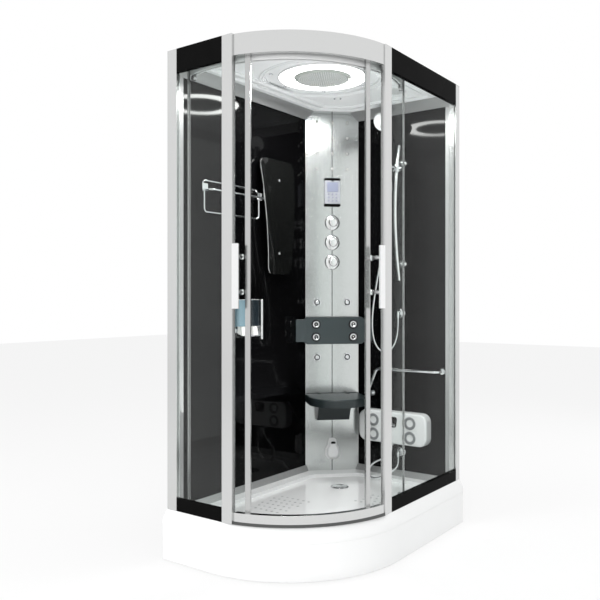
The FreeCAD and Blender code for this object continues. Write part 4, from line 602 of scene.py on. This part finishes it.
def pointCarrier(spots):
    # Points with a direction each, for copyTree.
    mesh = bpy.data.meshes.new("spots")
    mesh.from_pydata([place for place, _ in spots], [], [])
    aims = mesh.attributes.new("aim", "FLOAT_VECTOR", "POINT")
    for aim, (_, direction) in zip(aims.data, spots):
        aim.vector = direction
    return bpy.data.objects.new("spots", mesh)


def copiedPiece(name, mesh, spots, ink):
    # One piece of the cabin that holds a copy of a small mesh at every spot.
    pattern = bpy.data.objects.new("pattern", mesh)
    scene.collection.objects.link(pattern)
    copies = grownMesh(copyTree, {"Piece": pattern, "Finish": finishInks[ink]}, pointCarrier(spots))
    bpy.data.objects.remove(pattern)
    return pieceFromMesh(name, copies, ink)


# Hoses

hoses = {
    "showerHoseLine": {
        "node": "shower_hose", "body": None, "length": 1.114,
        "diameter": 0.011, "ribPitch": 0.0046, "ribDepth": 0.0003,
        "route": [
            (0.078, 0.545, 0.982), (0.078, 0.545, 0.935), (0.076, 0.536, 0.885), (0.060, 0.526, 0.835),
            (0.025, 0.516, 0.806), (-0.014, 0.508, 0.818), (-0.038, 0.503, 0.862), (-0.047, 0.500, 0.920),
            (-0.046, 0.498, 0.980), (-0.038, 0.496, 1.045), (-0.025, 0.494, 1.115), (-0.010, 0.492, 1.190),
            (0.008, 0.489, 1.268), (0.028, 0.487, 1.348), (0.046, 0.484, 1.428), (0.060, 0.482, 1.508),
            (0.069, 0.481, 1.585), (0.07463, 0.47858, 1.63596), (0.06794, 0.47774, 1.68045),
        ],
    },
    "massagerHoseLine": {
        "node": "massager_hose", "body": "cabin", "length": 0.440,
        "diameter": 0.011, "ribPitch": 0.0046, "ribDepth": 0.0003,
        "route": [
            (0.080, 0.545, 0.284), (0.080, 0.545, 0.258), (0.076, 0.537, 0.236), (0.060, 0.521, 0.217),
            (0.036, 0.504, 0.200), (0.006, 0.490, 0.181), (-0.028, 0.484, 0.172), (-0.058, 0.489, 0.179),
            (-0.072, 0.502, 0.204), (-0.062, 0.515, 0.232), (-0.038, 0.527, 0.252), (-0.006, 0.538, 0.266),
            (0.024, 0.546, 0.280), (0.038, 0.5475, 0.306), (0.038, 0.5475, 0.338),
        ],
    },
}


def makeHose(name, hose):
    data = bpy.data.curves.new(name + "Route", "CURVE")
    data.dimensions = "3D"
    spline = data.splines.new("NURBS")
    spline.points.add(len(hose["route"]) - 1)
    for point, place in zip(spline.points, hose["route"]):
        point.co = (*place, 1)
    spline.order_u = 3
    spline.use_endpoint_u = True
    spline.resolution_u = 12
    route = bpy.data.objects.new(name + "Route", data)
    scene.collection.objects.link(route)
    bpy.context.view_layer.update()
    plain = finalMesh(route)
    path = [tuple(v.co) for v in plain.vertices]
    bpy.data.meshes.remove(plain)
    mesh = grownMesh(hoseTree, {
        "Radius": hose["diameter"] / 2, "Rib Pitch": hose["ribPitch"],
        "Rib Depth": hose["ribDepth"], "Finish": finishInks["chrome"],
    }, route)
    return mesh, path


for hoseName, hose in hoses.items():
    hoseMesh, hosePath = makeHose(hoseName, hose)
    hosePiece = pieceFromMesh(hoseName, hoseMesh, "chrome", body=hose["body"], sharp=60)
    if not hose["body"]:
        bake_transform(hosePiece)
    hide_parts(hose["node"])
print("hoses made")

# Frame, walls and fittings that keep their own shape

dressings = {
    # node: finish, softened edge in metres
    "shower_tray": ("whiteAcrylic", 0.004),
    "tray_apron": ("whiteAcrylic", 0.003),
    "support_frame": ("frameSteel", 0.0),
    "drain_trap": ("greyRubber", 0.001),
    "drain_cover": ("chrome", 0.0008),
    "left_wall_glass": ("blackWallGlass", 0.0),
    "back_wall_glass": ("blackWallGlass", 0.0),
    # Both wall frames take the painted-shade copy of the aluminium.
    "left_wall_frame": ("coveAluminiumShade", 0.001),
    "back_wall_frame": ("coveAluminiumShade", 0.001),
    "column_panels": ("brushedSteel", 0.0008),
    "corner_posts": ("satinAluminium", 0.0012),
    "door_posts": ("satinAluminium", 0.0012),
    "left_fixed_pane": ("frontGlass", 0.0),
    "right_fixed_pane": ("sideGlass", 0.0),
    "fascias": ("blackGloss", 0.001),
    "curved_top_rail": ("satinAluminium", 0.001),
    "curved_bottom_rail": ("satinAluminium", 0.001),
    "door_tracks": ("trackWhite", 0.0006),
    "roof_shell": ("roofAcrylic", 0.0015),
    "rain_head": ("sprayFace", 0.0015),
    "exhaust_fan": ("whitePlastic", 0.0008),
    "massage_belt": ("slatePlastic", 0.004),
    "mixer_valve": ("satinChrome", 0.0006),
    "steam_generator": ("frameSteel", 0.002),
    "seat_bracket": ("slatePlastic", 0.003),
    "seat": ("slatePlastic", 0.002),
    "towel_rack": ("chrome", 0.0008),
    "wall_mirror": ("blackMirror", 0.001),
    "soap_holder": ("chrome", 0.0015),
    "riser_rail": ("satinChrome", 0.0008),
    "handset_slider": ("chrome", 0.0008),
    "hand_shower": ("chrome", 0.0008),
    "grab_bar": ("chrome", 0.0008),
    "foot_massager": ("whitePlastic", 0.002),
    "foot_rings": ("greyRubber", 0.0008),
    "hose_elbows": ("chrome", 0.0006),
    "knob_lower": ("satinChrome", 0.0008),
    "knob_middle": ("satinChrome", 0.0008),
    "knob_upper": ("satinChrome", 0.0008),
    "soap_lever_left": ("nylon", 0.0015),
    "soap_lever_right": ("nylon", 0.0015),
}
for side in ("left", "right"):
    dressings[side + "_door_glass"] = ("doorGlass", 0.0)
    dressings[side + "_door_trim"] = ("stripAluminium", 0.0006)
    dressings[side + "_door_handle"] = ("satinChrome", 0.0012)
    dressings[side + "_lead_roller"] = ("nylon", 0.0004)
    dressings[side + "_trail_roller"] = ("nylon", 0.0004)

softening = {"weld": 0.00001, "flatTurn": math.radians(0.4), "edgeTurn": math.radians(38), "segments": 2}
for node, (ink, edge) in dressings.items():
    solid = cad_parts[node]
    mesh = solid.data
    if "custom_normal" in mesh.attributes:
        mesh.attributes.remove(mesh.attributes["custom_normal"])
    mesh.materials.clear()
    mesh.materials.append(finishInks[ink])
    mesh.shade_smooth()
    weld = solid.modifiers.new("weld", "WELD")
    weld.merge_threshold = softening["weld"]
    flat = solid.modifiers.new("flats", "DECIMATE")
    flat.decimate_type = "DISSOLVE"
    flat.angle_limit = softening["flatTurn"]
    if edge:
        soft = solid.modifiers.new("softEdge", "BEVEL")
        soft.width = edge
        soft.segments = softening["segments"]
        soft.limit_method = "ANGLE"
        soft.angle_limit = softening["edgeTurn"]
        soft.harden_normals = True
    else:
        crisp = solid.modifiers.new("crispEdge", "EDGE_SPLIT")
        crisp.split_angle = softening["edgeTurn"]
print("frame dressed")

# Control panel on the column

panel = {
    "low": 1.558, "high": 1.706, "halfWidth": 0.0425, "depth": 0.013, "side": 0.001,
    "cap": 0.013, "corner": 0.006, "crisp": 0.0006, "capEdge": 0.0015,
    "display": (-0.028, 0.028, 1.635, 1.682), "rim": 0.002, "tab": 0.0055,
    "inlay": 0.0012, "keyLow": 1.587,
    "keys": {
        "Across": 3, "Along": 3, "Stagger": 0.0, "Pitch Across": 0.0205, "Pitch Along": 0.0175,
        "Foot Radius": 0.0052, "Tip Radius": 0.0046, "Height": 0.0012,
    },
}


def panelPiece(name, loop, back, front, edge, ink):
    # A plate on the column. Back and front say how far it stands out.
    plate = slabMesh(loop, back, front, edge)
    return pieceFromMesh(name, plate, ink, wallSpot("column", 0, 0))


def makePanel():
    w, d, side = panel["halfWidth"], panel["depth"], panel["side"]
    low, high, cap = panel["low"], panel["high"], panel["cap"]
    crisp, corner, capEdge = panel["crisp"], panel["corner"], panel["capEdge"]
    case = flatLoop(-w + side, w - side, low + cap, high - cap, crisp)
    casePiece = panelPiece("panelCase", case, 0, d - side, 0.0008, "panelCase")
    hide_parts("control_panel")
    foot = flatLoop(-w, w, low, low + cap, [corner, corner, crisp, crisp])
    panelPiece("panelFootCap", foot, 0, d, capEdge, "blackGloss")
    head = flatLoop(-w, w, high - cap, high, [crisp, crisp, corner, corner])
    panelPiece("panelHeadCap", head, 0, d, capEdge, "blackGloss")
    left, right, bottom, top = panel["display"]
    back, rim, tab = d - panel["inlay"], panel["rim"], panel["tab"]
    rimLoop = flatLoop(left - rim, right + rim, bottom - rim, top + rim, 0.002)
    panelPiece("displayRim", rimLoop, back, d - 0.0005, 0.0003, "panelInk")
    screen = flatLoop(left, right, bottom, top, 0.001)
    panelPiece("displayScreen", screen, back, d - 0.0001, 0.0002, "displayGlow")
    tabLoop = flatLoop(-tab, tab, high - cap - tab, high - cap + 0.002, 0.0015)
    panelPiece("panelTab", tabLoop, back, d - 0.0002, 0.0003, "blackGloss")
    start = -panel["keys"]["Pitch Across"] * (panel["keys"]["Across"] - 1) / 2
    place = wallSpot("column", start, panel["keyLow"], back)
    grownPiece("panelKeys", gridTree, panel["keys"], "panelInk", place)


makePanel()
print("control panel made")

# Rain head, ceiling and its lamps

ceiling = {
    "centre": (0.0, -0.015), "height": 2.055, "rise": 0.012, "rainDepth": 0.014,
    "ring": (0.126, 0.197), "ringDepth": 0.009, "ringSteps": 128,
    "spotCircle": 0.232, "spotCount": 7, "spotTurn": 20, "spotRadius": 0.0056, "spotSunk": 0.002,
    "studs": [(-0.124, 0.269), (-0.100, 0.286)],
    "nozzles": {
        "Count": 397, "Ring Pitch": 0.0096, "Foot Radius": 0.0028, "Tip Radius": 0.0018, "Height": 0.0024,
    },
}


def makeRain():
    x, y = ceiling["centre"]
    low = ceiling["height"] + ceiling["rise"] - ceiling["rainDepth"]
    under = Matrix.Translation((x, y, low)) @ Matrix.Rotation(math.pi, 4, "X")
    grownPiece("rainNozzles", hexagonTree, ceiling["nozzles"], "whitePlastic", under)


def makeRing():
    # A white tray holds the lens, which alone is lit.
    inner, outer = ceiling["ring"]
    top = ceiling["height"] + ceiling["rise"]
    low = top - ceiling["ringDepth"]
    lip = low + 0.0012
    holder = turnedMesh([
        (inner, top), (inner, low + 0.0010), (inner + 0.0010, low), (inner + 0.0022, lip),
        (outer - 0.0032, lip), (outer - 0.0020, low), (outer, low + 0.0025), (outer, top),
    ], steps=ceiling["ringSteps"])
    place = Matrix.Translation((*ceiling["centre"], 0))
    holderPiece = pieceFromMesh("ringHolder", holder, "whiteAcrylic", place)
    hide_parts("roof_light_ring")
    lens = turnedMesh([
        (inner + 0.0020, lip + 0.0006), (inner + 0.0024, lip - 0.0004), (inner + 0.012, low + 0.0004),
        (outer - 0.012, low + 0.0004), (outer - 0.0034, lip - 0.0004), (outer - 0.0030, lip + 0.0006),
    ], steps=ceiling["ringSteps"])
    pieceFromMesh("ringLens", lens, "ringGlow", place)


def makeSpots():
    x, y = ceiling["centre"]
    r, around, count = ceiling["spotRadius"], ceiling["spotCircle"], ceiling["spotCount"]
    height = ceiling["height"] + ceiling["rise"] - ceiling["spotSunk"]
    spots = []
    for i in range(count):
        angle = math.radians(360 * i / count + ceiling["spotTurn"])
        place = (x + around * math.cos(angle), y + around * math.sin(angle), height)
        spots.append((place, (0, 0, 1)))
    lens = turnedMesh([
        (0, 0), (r * 0.55, 0.0003), (r * 0.9, 0.0012), (r, 0.0026), (r, 0.004), (0, 0.004),
    ], steps=20)
    copiedPiece("spotLenses", lens, spots, "spotGlow")
    bezel = turnedMesh([
        (r * 1.05, 0.003), (r * 1.05, 0.0), (r * 1.2, -0.0012), (r * 1.5, -0.0004), (r * 1.6, 0.003),
    ], steps=24)
    copiedPiece("spotBezels", bezel, spots, "chrome")


def makeStudPair():
    # Two small studs in the roof, ahead of the column.
    stud = turnedMesh([
        (0, 0.002), (0.0055, 0.002), (0.0055, -0.004), (0.0040, -0.007), (0, -0.0075),
    ], steps=20)
    spots = [((x, y, ceiling["height"]), (0, 0, 1)) for x, y in ceiling["studs"]]
    copiedPiece("roofStuds", stud, spots, "chrome")


mouldings = {
    "left": -0.343, "right": 0.332, "front": -0.532, "back": 0.543,
    "radius": 0.474, "corner": 0.03, "columnCorner": 0.02, "columnLine": -0.7513, "columnGap": 0.012,
    "section": [
        (0.0, 0.001), (0.0, -0.006), (0.006, -0.011), (0.020, -0.011), (0.027, -0.004), (0.027, 0.001),
    ],
    "insets": (0.026, 0.078),
    "domeSection": [
        (0.0, 0.001), (0.0, -0.002), (0.002, -0.0045), (0.006, -0.0045), (0.008, -0.002), (0.008, 0.001),
    ],
    "domeRings": (0.262, 0.276),
}


def ceilingLoop(inset):
    # The room's outline seen from above, drawn in by inset, with the column's corner cut off.
    m = mouldings
    x0, x1 = m["left"] + inset, m["right"] - inset
    y0, y1 = m["front"] + inset, m["back"] - inset
    cut = m["columnLine"] + math.sqrt(2) * (inset + m["columnGap"])
    corners = [(x0, y0), (x1, y0), (x1, y1), (y1 + cut, y1), (x0, x0 - cut)]
    radii = [m["corner"], m["radius"] - inset, m["corner"], m["columnCorner"], m["columnCorner"]]
    return roundedLoop(corners, radii, steps=14)


def makeMouldings():
    rise = Matrix.Translation((0, 0, ceiling["height"]))
    for i, start in enumerate(mouldings["insets"]):
        band = bandMesh(ceilingLoop, [(start + inset, drop) for inset, drop in mouldings["section"]])
        pieceFromMesh(f"ceilingMoulding{i + 1}", band, "roofAcrylic", rise)
    centre = Matrix.Translation((*ceiling["centre"], ceiling["height"]))
    for i, radius in enumerate(mouldings["domeRings"]):
        ring = turnedMesh([(radius + out, drop) for out, drop in mouldings["domeSection"]], steps=96)
        pieceFromMesh(f"domeMoulding{i + 1}", ring, "roofAcrylic", centre)


makeRain()
makeRing()
makeSpots()
makeStudPair()
makeMouldings()
print("ceiling made")

# Water jets on the column and on the belt

jets = {
    "body": {
        "spots": [(s, z) for s in (-0.080, 0.080) for z in (0.772, 1.058)],
        "start": 0.0,
        "parts": {
            "Flange": ("chrome", [
                (0.0215, 0), (0.0215, 0.0034), (0.0205, 0.0044), (0.0160, 0.0046), (0.0152, 0.0036),
                (0.0152, 0),
            ]),
            # Gap: a black ring that is painted shadow of the recess round the ball.
            "Gap": ("blackRubberAndShade", [(0.0152, 0), (0.0152, 0.0010), (0.0124, 0.0010), (0.0124, 0)]),
            "Ball": ("chrome", [
                (0, 0), (0.0126, 0), (0.0126, 0.0034), (0.0118, 0.0062), (0.0098, 0.0080), (0.0070, 0.0088),
                (0.0050, 0.0088), (0.0044, 0.0078), (0.0030, 0.0078), (0.0024, 0.0104), (0, 0.0106),
            ]),
        },
    },
    "belt": {
        "spots": [(s, z) for s in (-0.097, 0.097) for z in (0.881, 0.946)],
        "start": 0.066,
        "parts": {
            "Seat": ("blackRubberAndShade", [
                (0.0235, 0), (0.0235, 0.0018), (0.0215, 0.0036), (0.0172, 0.0036), (0.0172, 0),
            ]),
            "Ring": ("chrome", [
                (0.0172, 0), (0.0172, 0.0052), (0.0162, 0.0064), (0.0118, 0.0068), (0.0106, 0.0058),
                (0.0100, 0.0020), (0.0100, 0),
            ]),
            # Core: a dark disc that is painted shade of the jet's recess.
            "Core": ("blackRubberAndShade", [(0, 0), (0.0098, 0), (0.0098, 0.0030), (0.0062, 0.0044), (0, 0.0044)]),
            "Tip": ("chrome", [(0, 0.003), (0.0036, 0.003), (0.0036, 0.0058), (0.0024, 0.0070), (0, 0.0074)]),
        },
    },
    "needle": {
        "spots": [(s, 1.755 + 0.081 * i) for s in (-0.081, 0.0, 0.081) for i in range(4)],
        "start": 0.0,
        "parts": {
            "Cap": ("nylon", [
                (0, 0), (0.0066, 0), (0.0066, 0.0022), (0.0052, 0.0044), (0.0028, 0.0052), (0, 0.0052),
            ]),
            # Hole and Foot: a black dot and a black ring that are painted shade of the nozzle hole and of the
            # gap round the cap.
            "Hole": ("blackRubberAndShade", [(0, 0.0048), (0.0012, 0.0048), (0.0012, 0.0055), (0, 0.0055)]),
            "Foot": ("blackRubberAndShade", [(0.0066, 0), (0.0066, 0.0010), (0.0082, 0.0010), (0.0082, 0)]),
        },
    },
}


def makeJets():
    for kind, jet in jets.items():
        spots = wallSpots("column", jet["spots"], jet["start"])
        for part, (ink, profile) in jet["parts"].items():
            piece = copiedPiece(kind + part, turnedMesh(profile, steps=32), spots, ink)
            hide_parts("water_jets")


makeJets()
print("water jets made")

# Seam where the column's two sheets meet

seam = {"half": 0.0019, "low": 0.182, "high": 2.055, "proud": 0.0003}


def makeSeam():
    loop = flatLoop(-seam["half"], seam["half"], seam["low"], seam["high"], 0)
    strip = slabMesh(loop, -0.001, seam["proud"], 0.0001, steps=1)
    pieceFromMesh("columnSeam", strip, "blackRubberAndShade", wallSpot("column", 0, 0))


makeSeam()
print("column seam made")

# Steam outlet at the column's foot

steam = {
    "height": 0.296, "depth": 0.032, "base": 0.013,
    "outline": [
        (-0.022, -0.055), (0.022, -0.055), (0.038, -0.036), (0.038, 0.000), (0.025, 0.020),
        (0.019, 0.055), (-0.019, 0.055), (-0.025, 0.020), (-0.038, 0.000), (-0.038, -0.036),
    ],
    "radii": [0.012, 0.012, 0.020, 0.016, 0.014, 0.017, 0.017, 0.014, 0.016, 0.020],
    "hood": {"across": 0.80, "along": 0.84, "round": 0.75, "edge": 0.009},
    "slot": [
        (-0.011, 0.029), (0.011, 0.029), (0.013, 0.036), (0.007, 0.041), (-0.007, 0.041), (-0.013, 0.036),
    ],
}


def makeSteam():
    place = wallSpot("column", 0, steam["height"])
    front, back, share = steam["depth"], steam["base"], steam["hood"]
    base = slabMesh(roundedLoop(steam["outline"], steam["radii"]), 0, back, 0.004)
    basePiece = pieceFromMesh("steamBase", base, "whitePlastic", place)
    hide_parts("steam_outlet")
    inner = [(x * share["across"], y * share["along"]) for x, y in steam["outline"]]
    loop = roundedLoop(inner, [r * share["round"] for r in steam["radii"]])
    hood = slabMesh(loop, back - 0.001, front, share["edge"], steps=5)
    pieceFromMesh("steamHood", hood, "whitePlastic", place)
    mouth = slabMesh(roundedLoop(steam["slot"], 0.0015), front - 0.003, front + 0.0005, 0.0004)
    pieceFromMesh("steamMouth", mouth, "blackRubberAndShade", place)


makeSteam()
print("steam outlet made")

# Rim and screw caps of the dark mirror

mirror = {
    "corners": [(0.035, 1.197), (0.204, 1.197), (0.227, 1.750), (-0.034, 1.750)],
    "radius": 0.038, "thick": 0.006, "endDepth": 0.026, "bow": 0.016, "run": 0.03,
    "bead": {"halfWidth": 0.0068, "halfDepth": 0.0080, "inset": 0.0055, "behind": 0.0084, "sides": 16},
    "screws": [(0.100, 1.297), (0.100, 1.650)],
}


def mirrorDepth(height):
    # How far the bowed plate's front stands out of the wall.
    half = (mirror["corners"][2][1] - mirror["corners"][0][1]) / 2
    radius = (half**2 + mirror["bow"] ** 2) / (2 * mirror["bow"])
    lift = height - mirror["corners"][0][1] - half
    return mirror["endDepth"] + mirror["bow"] - radius + math.sqrt((radius + mirror["thick"]) ** 2 - lift**2)


def makeMirrorRim():
    # A bead along the plate's outline, with points close enough to follow the bow.
    loop = roundedLoop(mirror["corners"], mirror["radius"], steps=8)
    dense = []
    for i, p in enumerate(loop):
        ahead = loop[(i + 1) % len(loop)]
        steps = max(1, int((ahead - p).length / mirror["run"]))
        dense += [p.lerp(ahead, k / steps) for k in range(steps)]
    rings = []
    bead = mirror["bead"]
    for k in range(bead["sides"]):
        turn = 2 * math.pi * k / bead["sides"]
        outset = bead["halfWidth"] * math.cos(turn) - bead["inset"]
        front = bead["halfDepth"] * math.sin(turn) - bead["behind"]
        ring = []
        for i, p in enumerate(dense):
            along = (dense[(i + 1) % len(dense)] - dense[i - 1]).normalized()
            spot = p + Vector((along.y, -along.x)) * outset
            ring.append(Vector((spot.x, spot.y, mirrorDepth(p.y) + front)))
        rings.append(ring)
    place = wallSpot("left", 0, 0)
    pieceFromMesh("mirrorRim", meshFromRings(rings, closedLoop=True), "satinChrome", place)
    cap = turnedMesh([(0, 0), (0.0075, 0), (0.0075, 0.0034), (0.006, 0.0044), (0, 0.0048)], steps=32)
    spots = []
    for along, height in mirror["screws"]:
        spots += wallSpots("left", [(along, height)], mirrorDepth(height))
    copiedPiece("mirrorCaps", cap, spots, "chrome")


makeMirrorRim()
print("mirror rim made")

# Spray face of the handset

sprayer = {
    "centre": (0.02549, 0.46376, 1.95075), "face": (-0.1, -0.85, -0.52), "radius": 0.0425, "proud": 0.0012,
    "nozzles": {
        "Count": 91, "Ring Pitch": 0.0074, "Foot Radius": 0.0017, "Tip Radius": 0.0009, "Height": 0.0018,
    },
}


def makeSprayer():
    out = Vector(sprayer["face"]).normalized()
    place = Matrix.Translation(sprayer["centre"]) @ out.to_track_quat("Z", "Y").to_matrix().to_4x4()
    r, top = sprayer["radius"], sprayer["proud"]
    disc = turnedMesh([(0, -0.001), (r, -0.001), (r, 0.0006), (r - 0.0012, top), (0, top)], steps=64)
    pieceFromMesh("sprayFace", disc, "whiteAcrylic", place, "hand_shower")
    lifted = Matrix.Translation(out * top) @ place
    grownPiece("sprayNozzles", hexagonTree, sprayer["nozzles"], "greyRubber", lifted, "hand_shower")


makeSprayer()
print("handset face made")

# Tray floor

trayFloor = {
    "height": 0.165,
    "studs": {
        "Stagger": 0.5, "Pitch Across": 0.0300, "Pitch Along": 0.042,
        "Foot Radius": 0.0064, "Tip Radius": 0.00384, "Height": 0.0018,
    },
    "fields": [((-0.230, -0.240), (6, 6)), ((0.095, 0.110), (4, 4))],  # corner, studs each way
}


def makeStuds():
    for i, (corner, (across, along)) in enumerate(trayFloor["fields"]):
        sizes = {"Across": across, "Along": along, **trayFloor["studs"]}
        place = Matrix.Translation((*corner, trayFloor["height"]))
        # The studs' grey finish is painted shade.
        grownPiece(f"trayStuds{i + 1}", gridTree, sizes, "studShadeGrey", place)


makeStuds()
print("tray floor made")

# Soap tanks

soap = {
    "along": (-0.174, -0.094), "width": 0.075, "low": 0.952, "height": 0.120, "start": 0.008, "depth": 0.044,
    "inks": ("paleSoap", "darkSoap"), "names": ("soapTankLeft", "soapTankRight"),
    "backRound": 0.001, "frontRound": 0.014, "lidGap": 0.004, "lidBack": 0.002, "lidRise": 0.0018,
    "post": {
        "along": (-0.056, -0.042), "depth": (0.048, 0.060), "low": 0.889, "high": 1.074,
        "backRound": 0.0005, "frontRound": 0.0068,
    },
}


def soapLoop(near, far, back, front, radii):
    # Seen from above: along the long wall from near to far, and out of it from back to front.
    return roundedLoop([(near, -back), (near, -front), (far, -front), (far, -back)], radii)


def makeSoap():
    half, lidGap = soap["width"] / 2, soap["lidGap"]
    back, front = soap["start"], soap["start"] + soap["depth"]
    rounds = [soap["backRound"], soap["frontRound"], soap["frontRound"], soap["backRound"]]
    top = soap["low"] + soap["height"]
    for along, ink, name in zip(soap["along"], soap["inks"], soap["names"]):
        near, far = along - half, along + half
        tank = slabMesh(soapLoop(near, far, back, front, rounds), soap["low"], top, 0.003)
        piece = pieceFromMesh(name, tank, ink, wallPlaces["left"])
        if name == soap["names"][0]:
            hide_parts("soap_tanks")
        loop = soapLoop(near + lidGap, far - lidGap, back + soap["lidBack"], front - lidGap, lidGap)
        lid = slabMesh(loop, top - 0.001, top + soap["lidRise"], 0.001)
        pieceFromMesh(name + "Lid", lid, "whitePlastic", wallPlaces["left"])


def makeSoapPost():
    # The rounded front of the holder's end.
    post = soap["post"]
    rounds = [post["backRound"], post["frontRound"], post["frontRound"], post["backRound"]]
    piece = slabMesh(soapLoop(*post["along"], *post["depth"], rounds), post["low"], post["high"], 0.002)
    pieceFromMesh("soapEndPost", piece, "satinChrome", wallPlaces["left"])


makeSoap()
makeSoapPost()
print("soap tanks made")

# Rubber seal at the foot of the curved rail, whose dark strip is also painted shadow of the line under the
# rail, and the bezel of the massager's hand hole

# The seal's section: a dark strip that is also painted shadow under the rail.
seal = {
    "centre": (-0.150, -0.050), "from": -77.8, "to": -9.3, "steps": 90,
    "section": [(0.5340, 0.2104), (0.5462, 0.2104), (0.5368, 0.2190), (0.5340, 0.2190)],
}
bezel = {
    "along": 0.04995, "halves": (0.0220, 0.0300), "low": 0.440, "high": 0.480, "width": 0.0065,
    "depth": 0.055, "proud": 0.0008, "sunk": 0.001, "round": 0.006,
}


def makeSealAndShadow():
    # A dark strip along the rail's foot: a rubber seal, and painted shadow of the gap under the rail.
    x, y = seal["centre"]
    rings = []
    for i in range(seal["steps"] + 1):
        angle = math.radians(seal["from"] + (seal["to"] - seal["from"]) * i / seal["steps"])
        c, s = math.cos(angle), math.sin(angle)
        rings.append([Vector((x + r * c, y + r * s, height)) for r, height in seal["section"]])
    pieceFromMesh("railSeal", meshFromRings(rings), "sealAndShadowRubber")


def bezelLoop(inset):
    # The bezel's outer edge, drawn in by inset.
    foot, head = bezel["halves"]
    w = bezel["width"] - inset
    low, high = bezel["low"] - w, bezel["high"] + w
    corners = [(-foot - w, low), (foot + w, low), (head + w, high), (-head - w, high)]
    return roundedLoop(corners, bezel["round"] + w)


def makeBezel():
    width, proud, sunk = bezel["width"], bezel["proud"], bezel["sunk"]
    band = bandMesh(bezelLoop, [(0.0, -sunk), (0.0, proud), (width, proud), (width, -sunk)])
    place = wallSpot("back", bezel["along"], 0, bezel["depth"])
    pieceFromMesh("massagerBezel", band, "blackGloss", place)


makeSealAndShadow()
makeBezel()
print("seal and bezel made")

# Stage and light

stage = {"half": 14, "height": -0.0005, "tone": 0.80, "rough": 0.8, "shown": 0.80, "roomLight": 0.62}
shownRays = ("Is Camera Ray", "Is Glossy Ray", "Is Transmission Ray")


def makeFloor():
    half, height = stage["half"], stage["height"]
    corners = [(x, y, height) for x, y in ((-half, -half), (half, -half), (half, half), (-half, half))]
    mesh = bpy.data.meshes.new("floor")
    mesh.from_pydata(corners, [], [(0, 1, 2, 3)])
    floor = bpy.data.objects.new("floor", mesh)
    scene.collection.objects.link(floor)
    ink, tree, shader = newInk("paleFloor")
    tone = stage["tone"]
    plug(tree, shader, {"Base Color": (tone, tone, tone, 1), "Roughness": stage["rough"]})
    glow = addNode(tree, "ShaderNodeEmission", {"Strength": 1.0})
    share = calc(tree, "MULTIPLY", anyRay(tree, shownRays), stage["shown"])
    blendSurface(tree, share, shader, glow)
    mesh.materials.append(ink)


def makeWorld():
    world = bpy.data.worlds.new("softRoom")
    scene.world = world
    world.use_nodes = True
    tree = world.node_tree
    plain = tree.nodes["Background"]
    plug(tree, plain, {"Color": (1, 1, 1, 1), "Strength": stage["roomLight"]})
    white = addNode(tree, "ShaderNodeBackground", {"Color": (1, 1, 1, 1), "Strength": 1.0})
    blendSurface(tree, anyRay(tree, shownRays), plain, white, "World Output")


lamps = {
    "frontSoftbox": {"place": (2.2, -3.6, 2.8), "aim": (0, 0, 1.0), "size": 2.2, "power": 95},
    "leftSoftbox": {"place": (-2.6, -3.0, 2.2), "aim": (0, 0, 1.1), "size": 1.8, "power": 55},
    "topSoftbox": {"place": (0.6, -0.8, 4.2), "aim": (0, 0, 1.0), "size": 2.4, "power": 20},
    "backSoftbox": {"place": (1.5, 3.2, 2.6), "aim": (0, 0, 1.0), "size": 2.2, "power": 45},
    "ringLamp": {"place": (0.0, -0.015, 2.03), "aim": (0.0, -0.0149, 0.0), "size": 0.38, "power": 13},
    "bounceLamp": {"place": (-0.04, -0.16, 0.60), "aim": (-0.04, -0.1599, 3.0), "size": 0.7, "power": 10},
}


def makeLamps():
    for name, lamp in lamps.items():
        data = bpy.data.lights.new(name, "AREA")
        data.size = lamp["size"]
        data.energy = lamp["power"]
        light = bpy.data.objects.new(name, data)
        scene.collection.objects.link(light)
        light.location = lamp["place"]
        towards = Vector(lamp["aim"]) - Vector(lamp["place"])
        light.rotation_euler = towards.to_track_quat("-Z", "Y").to_euler()
        light.visible_glossy = False
        light.visible_transmission = False


makeFloor()
makeWorld()
makeLamps()
scene.view_settings.view_transform = "Standard"
print("stage made")
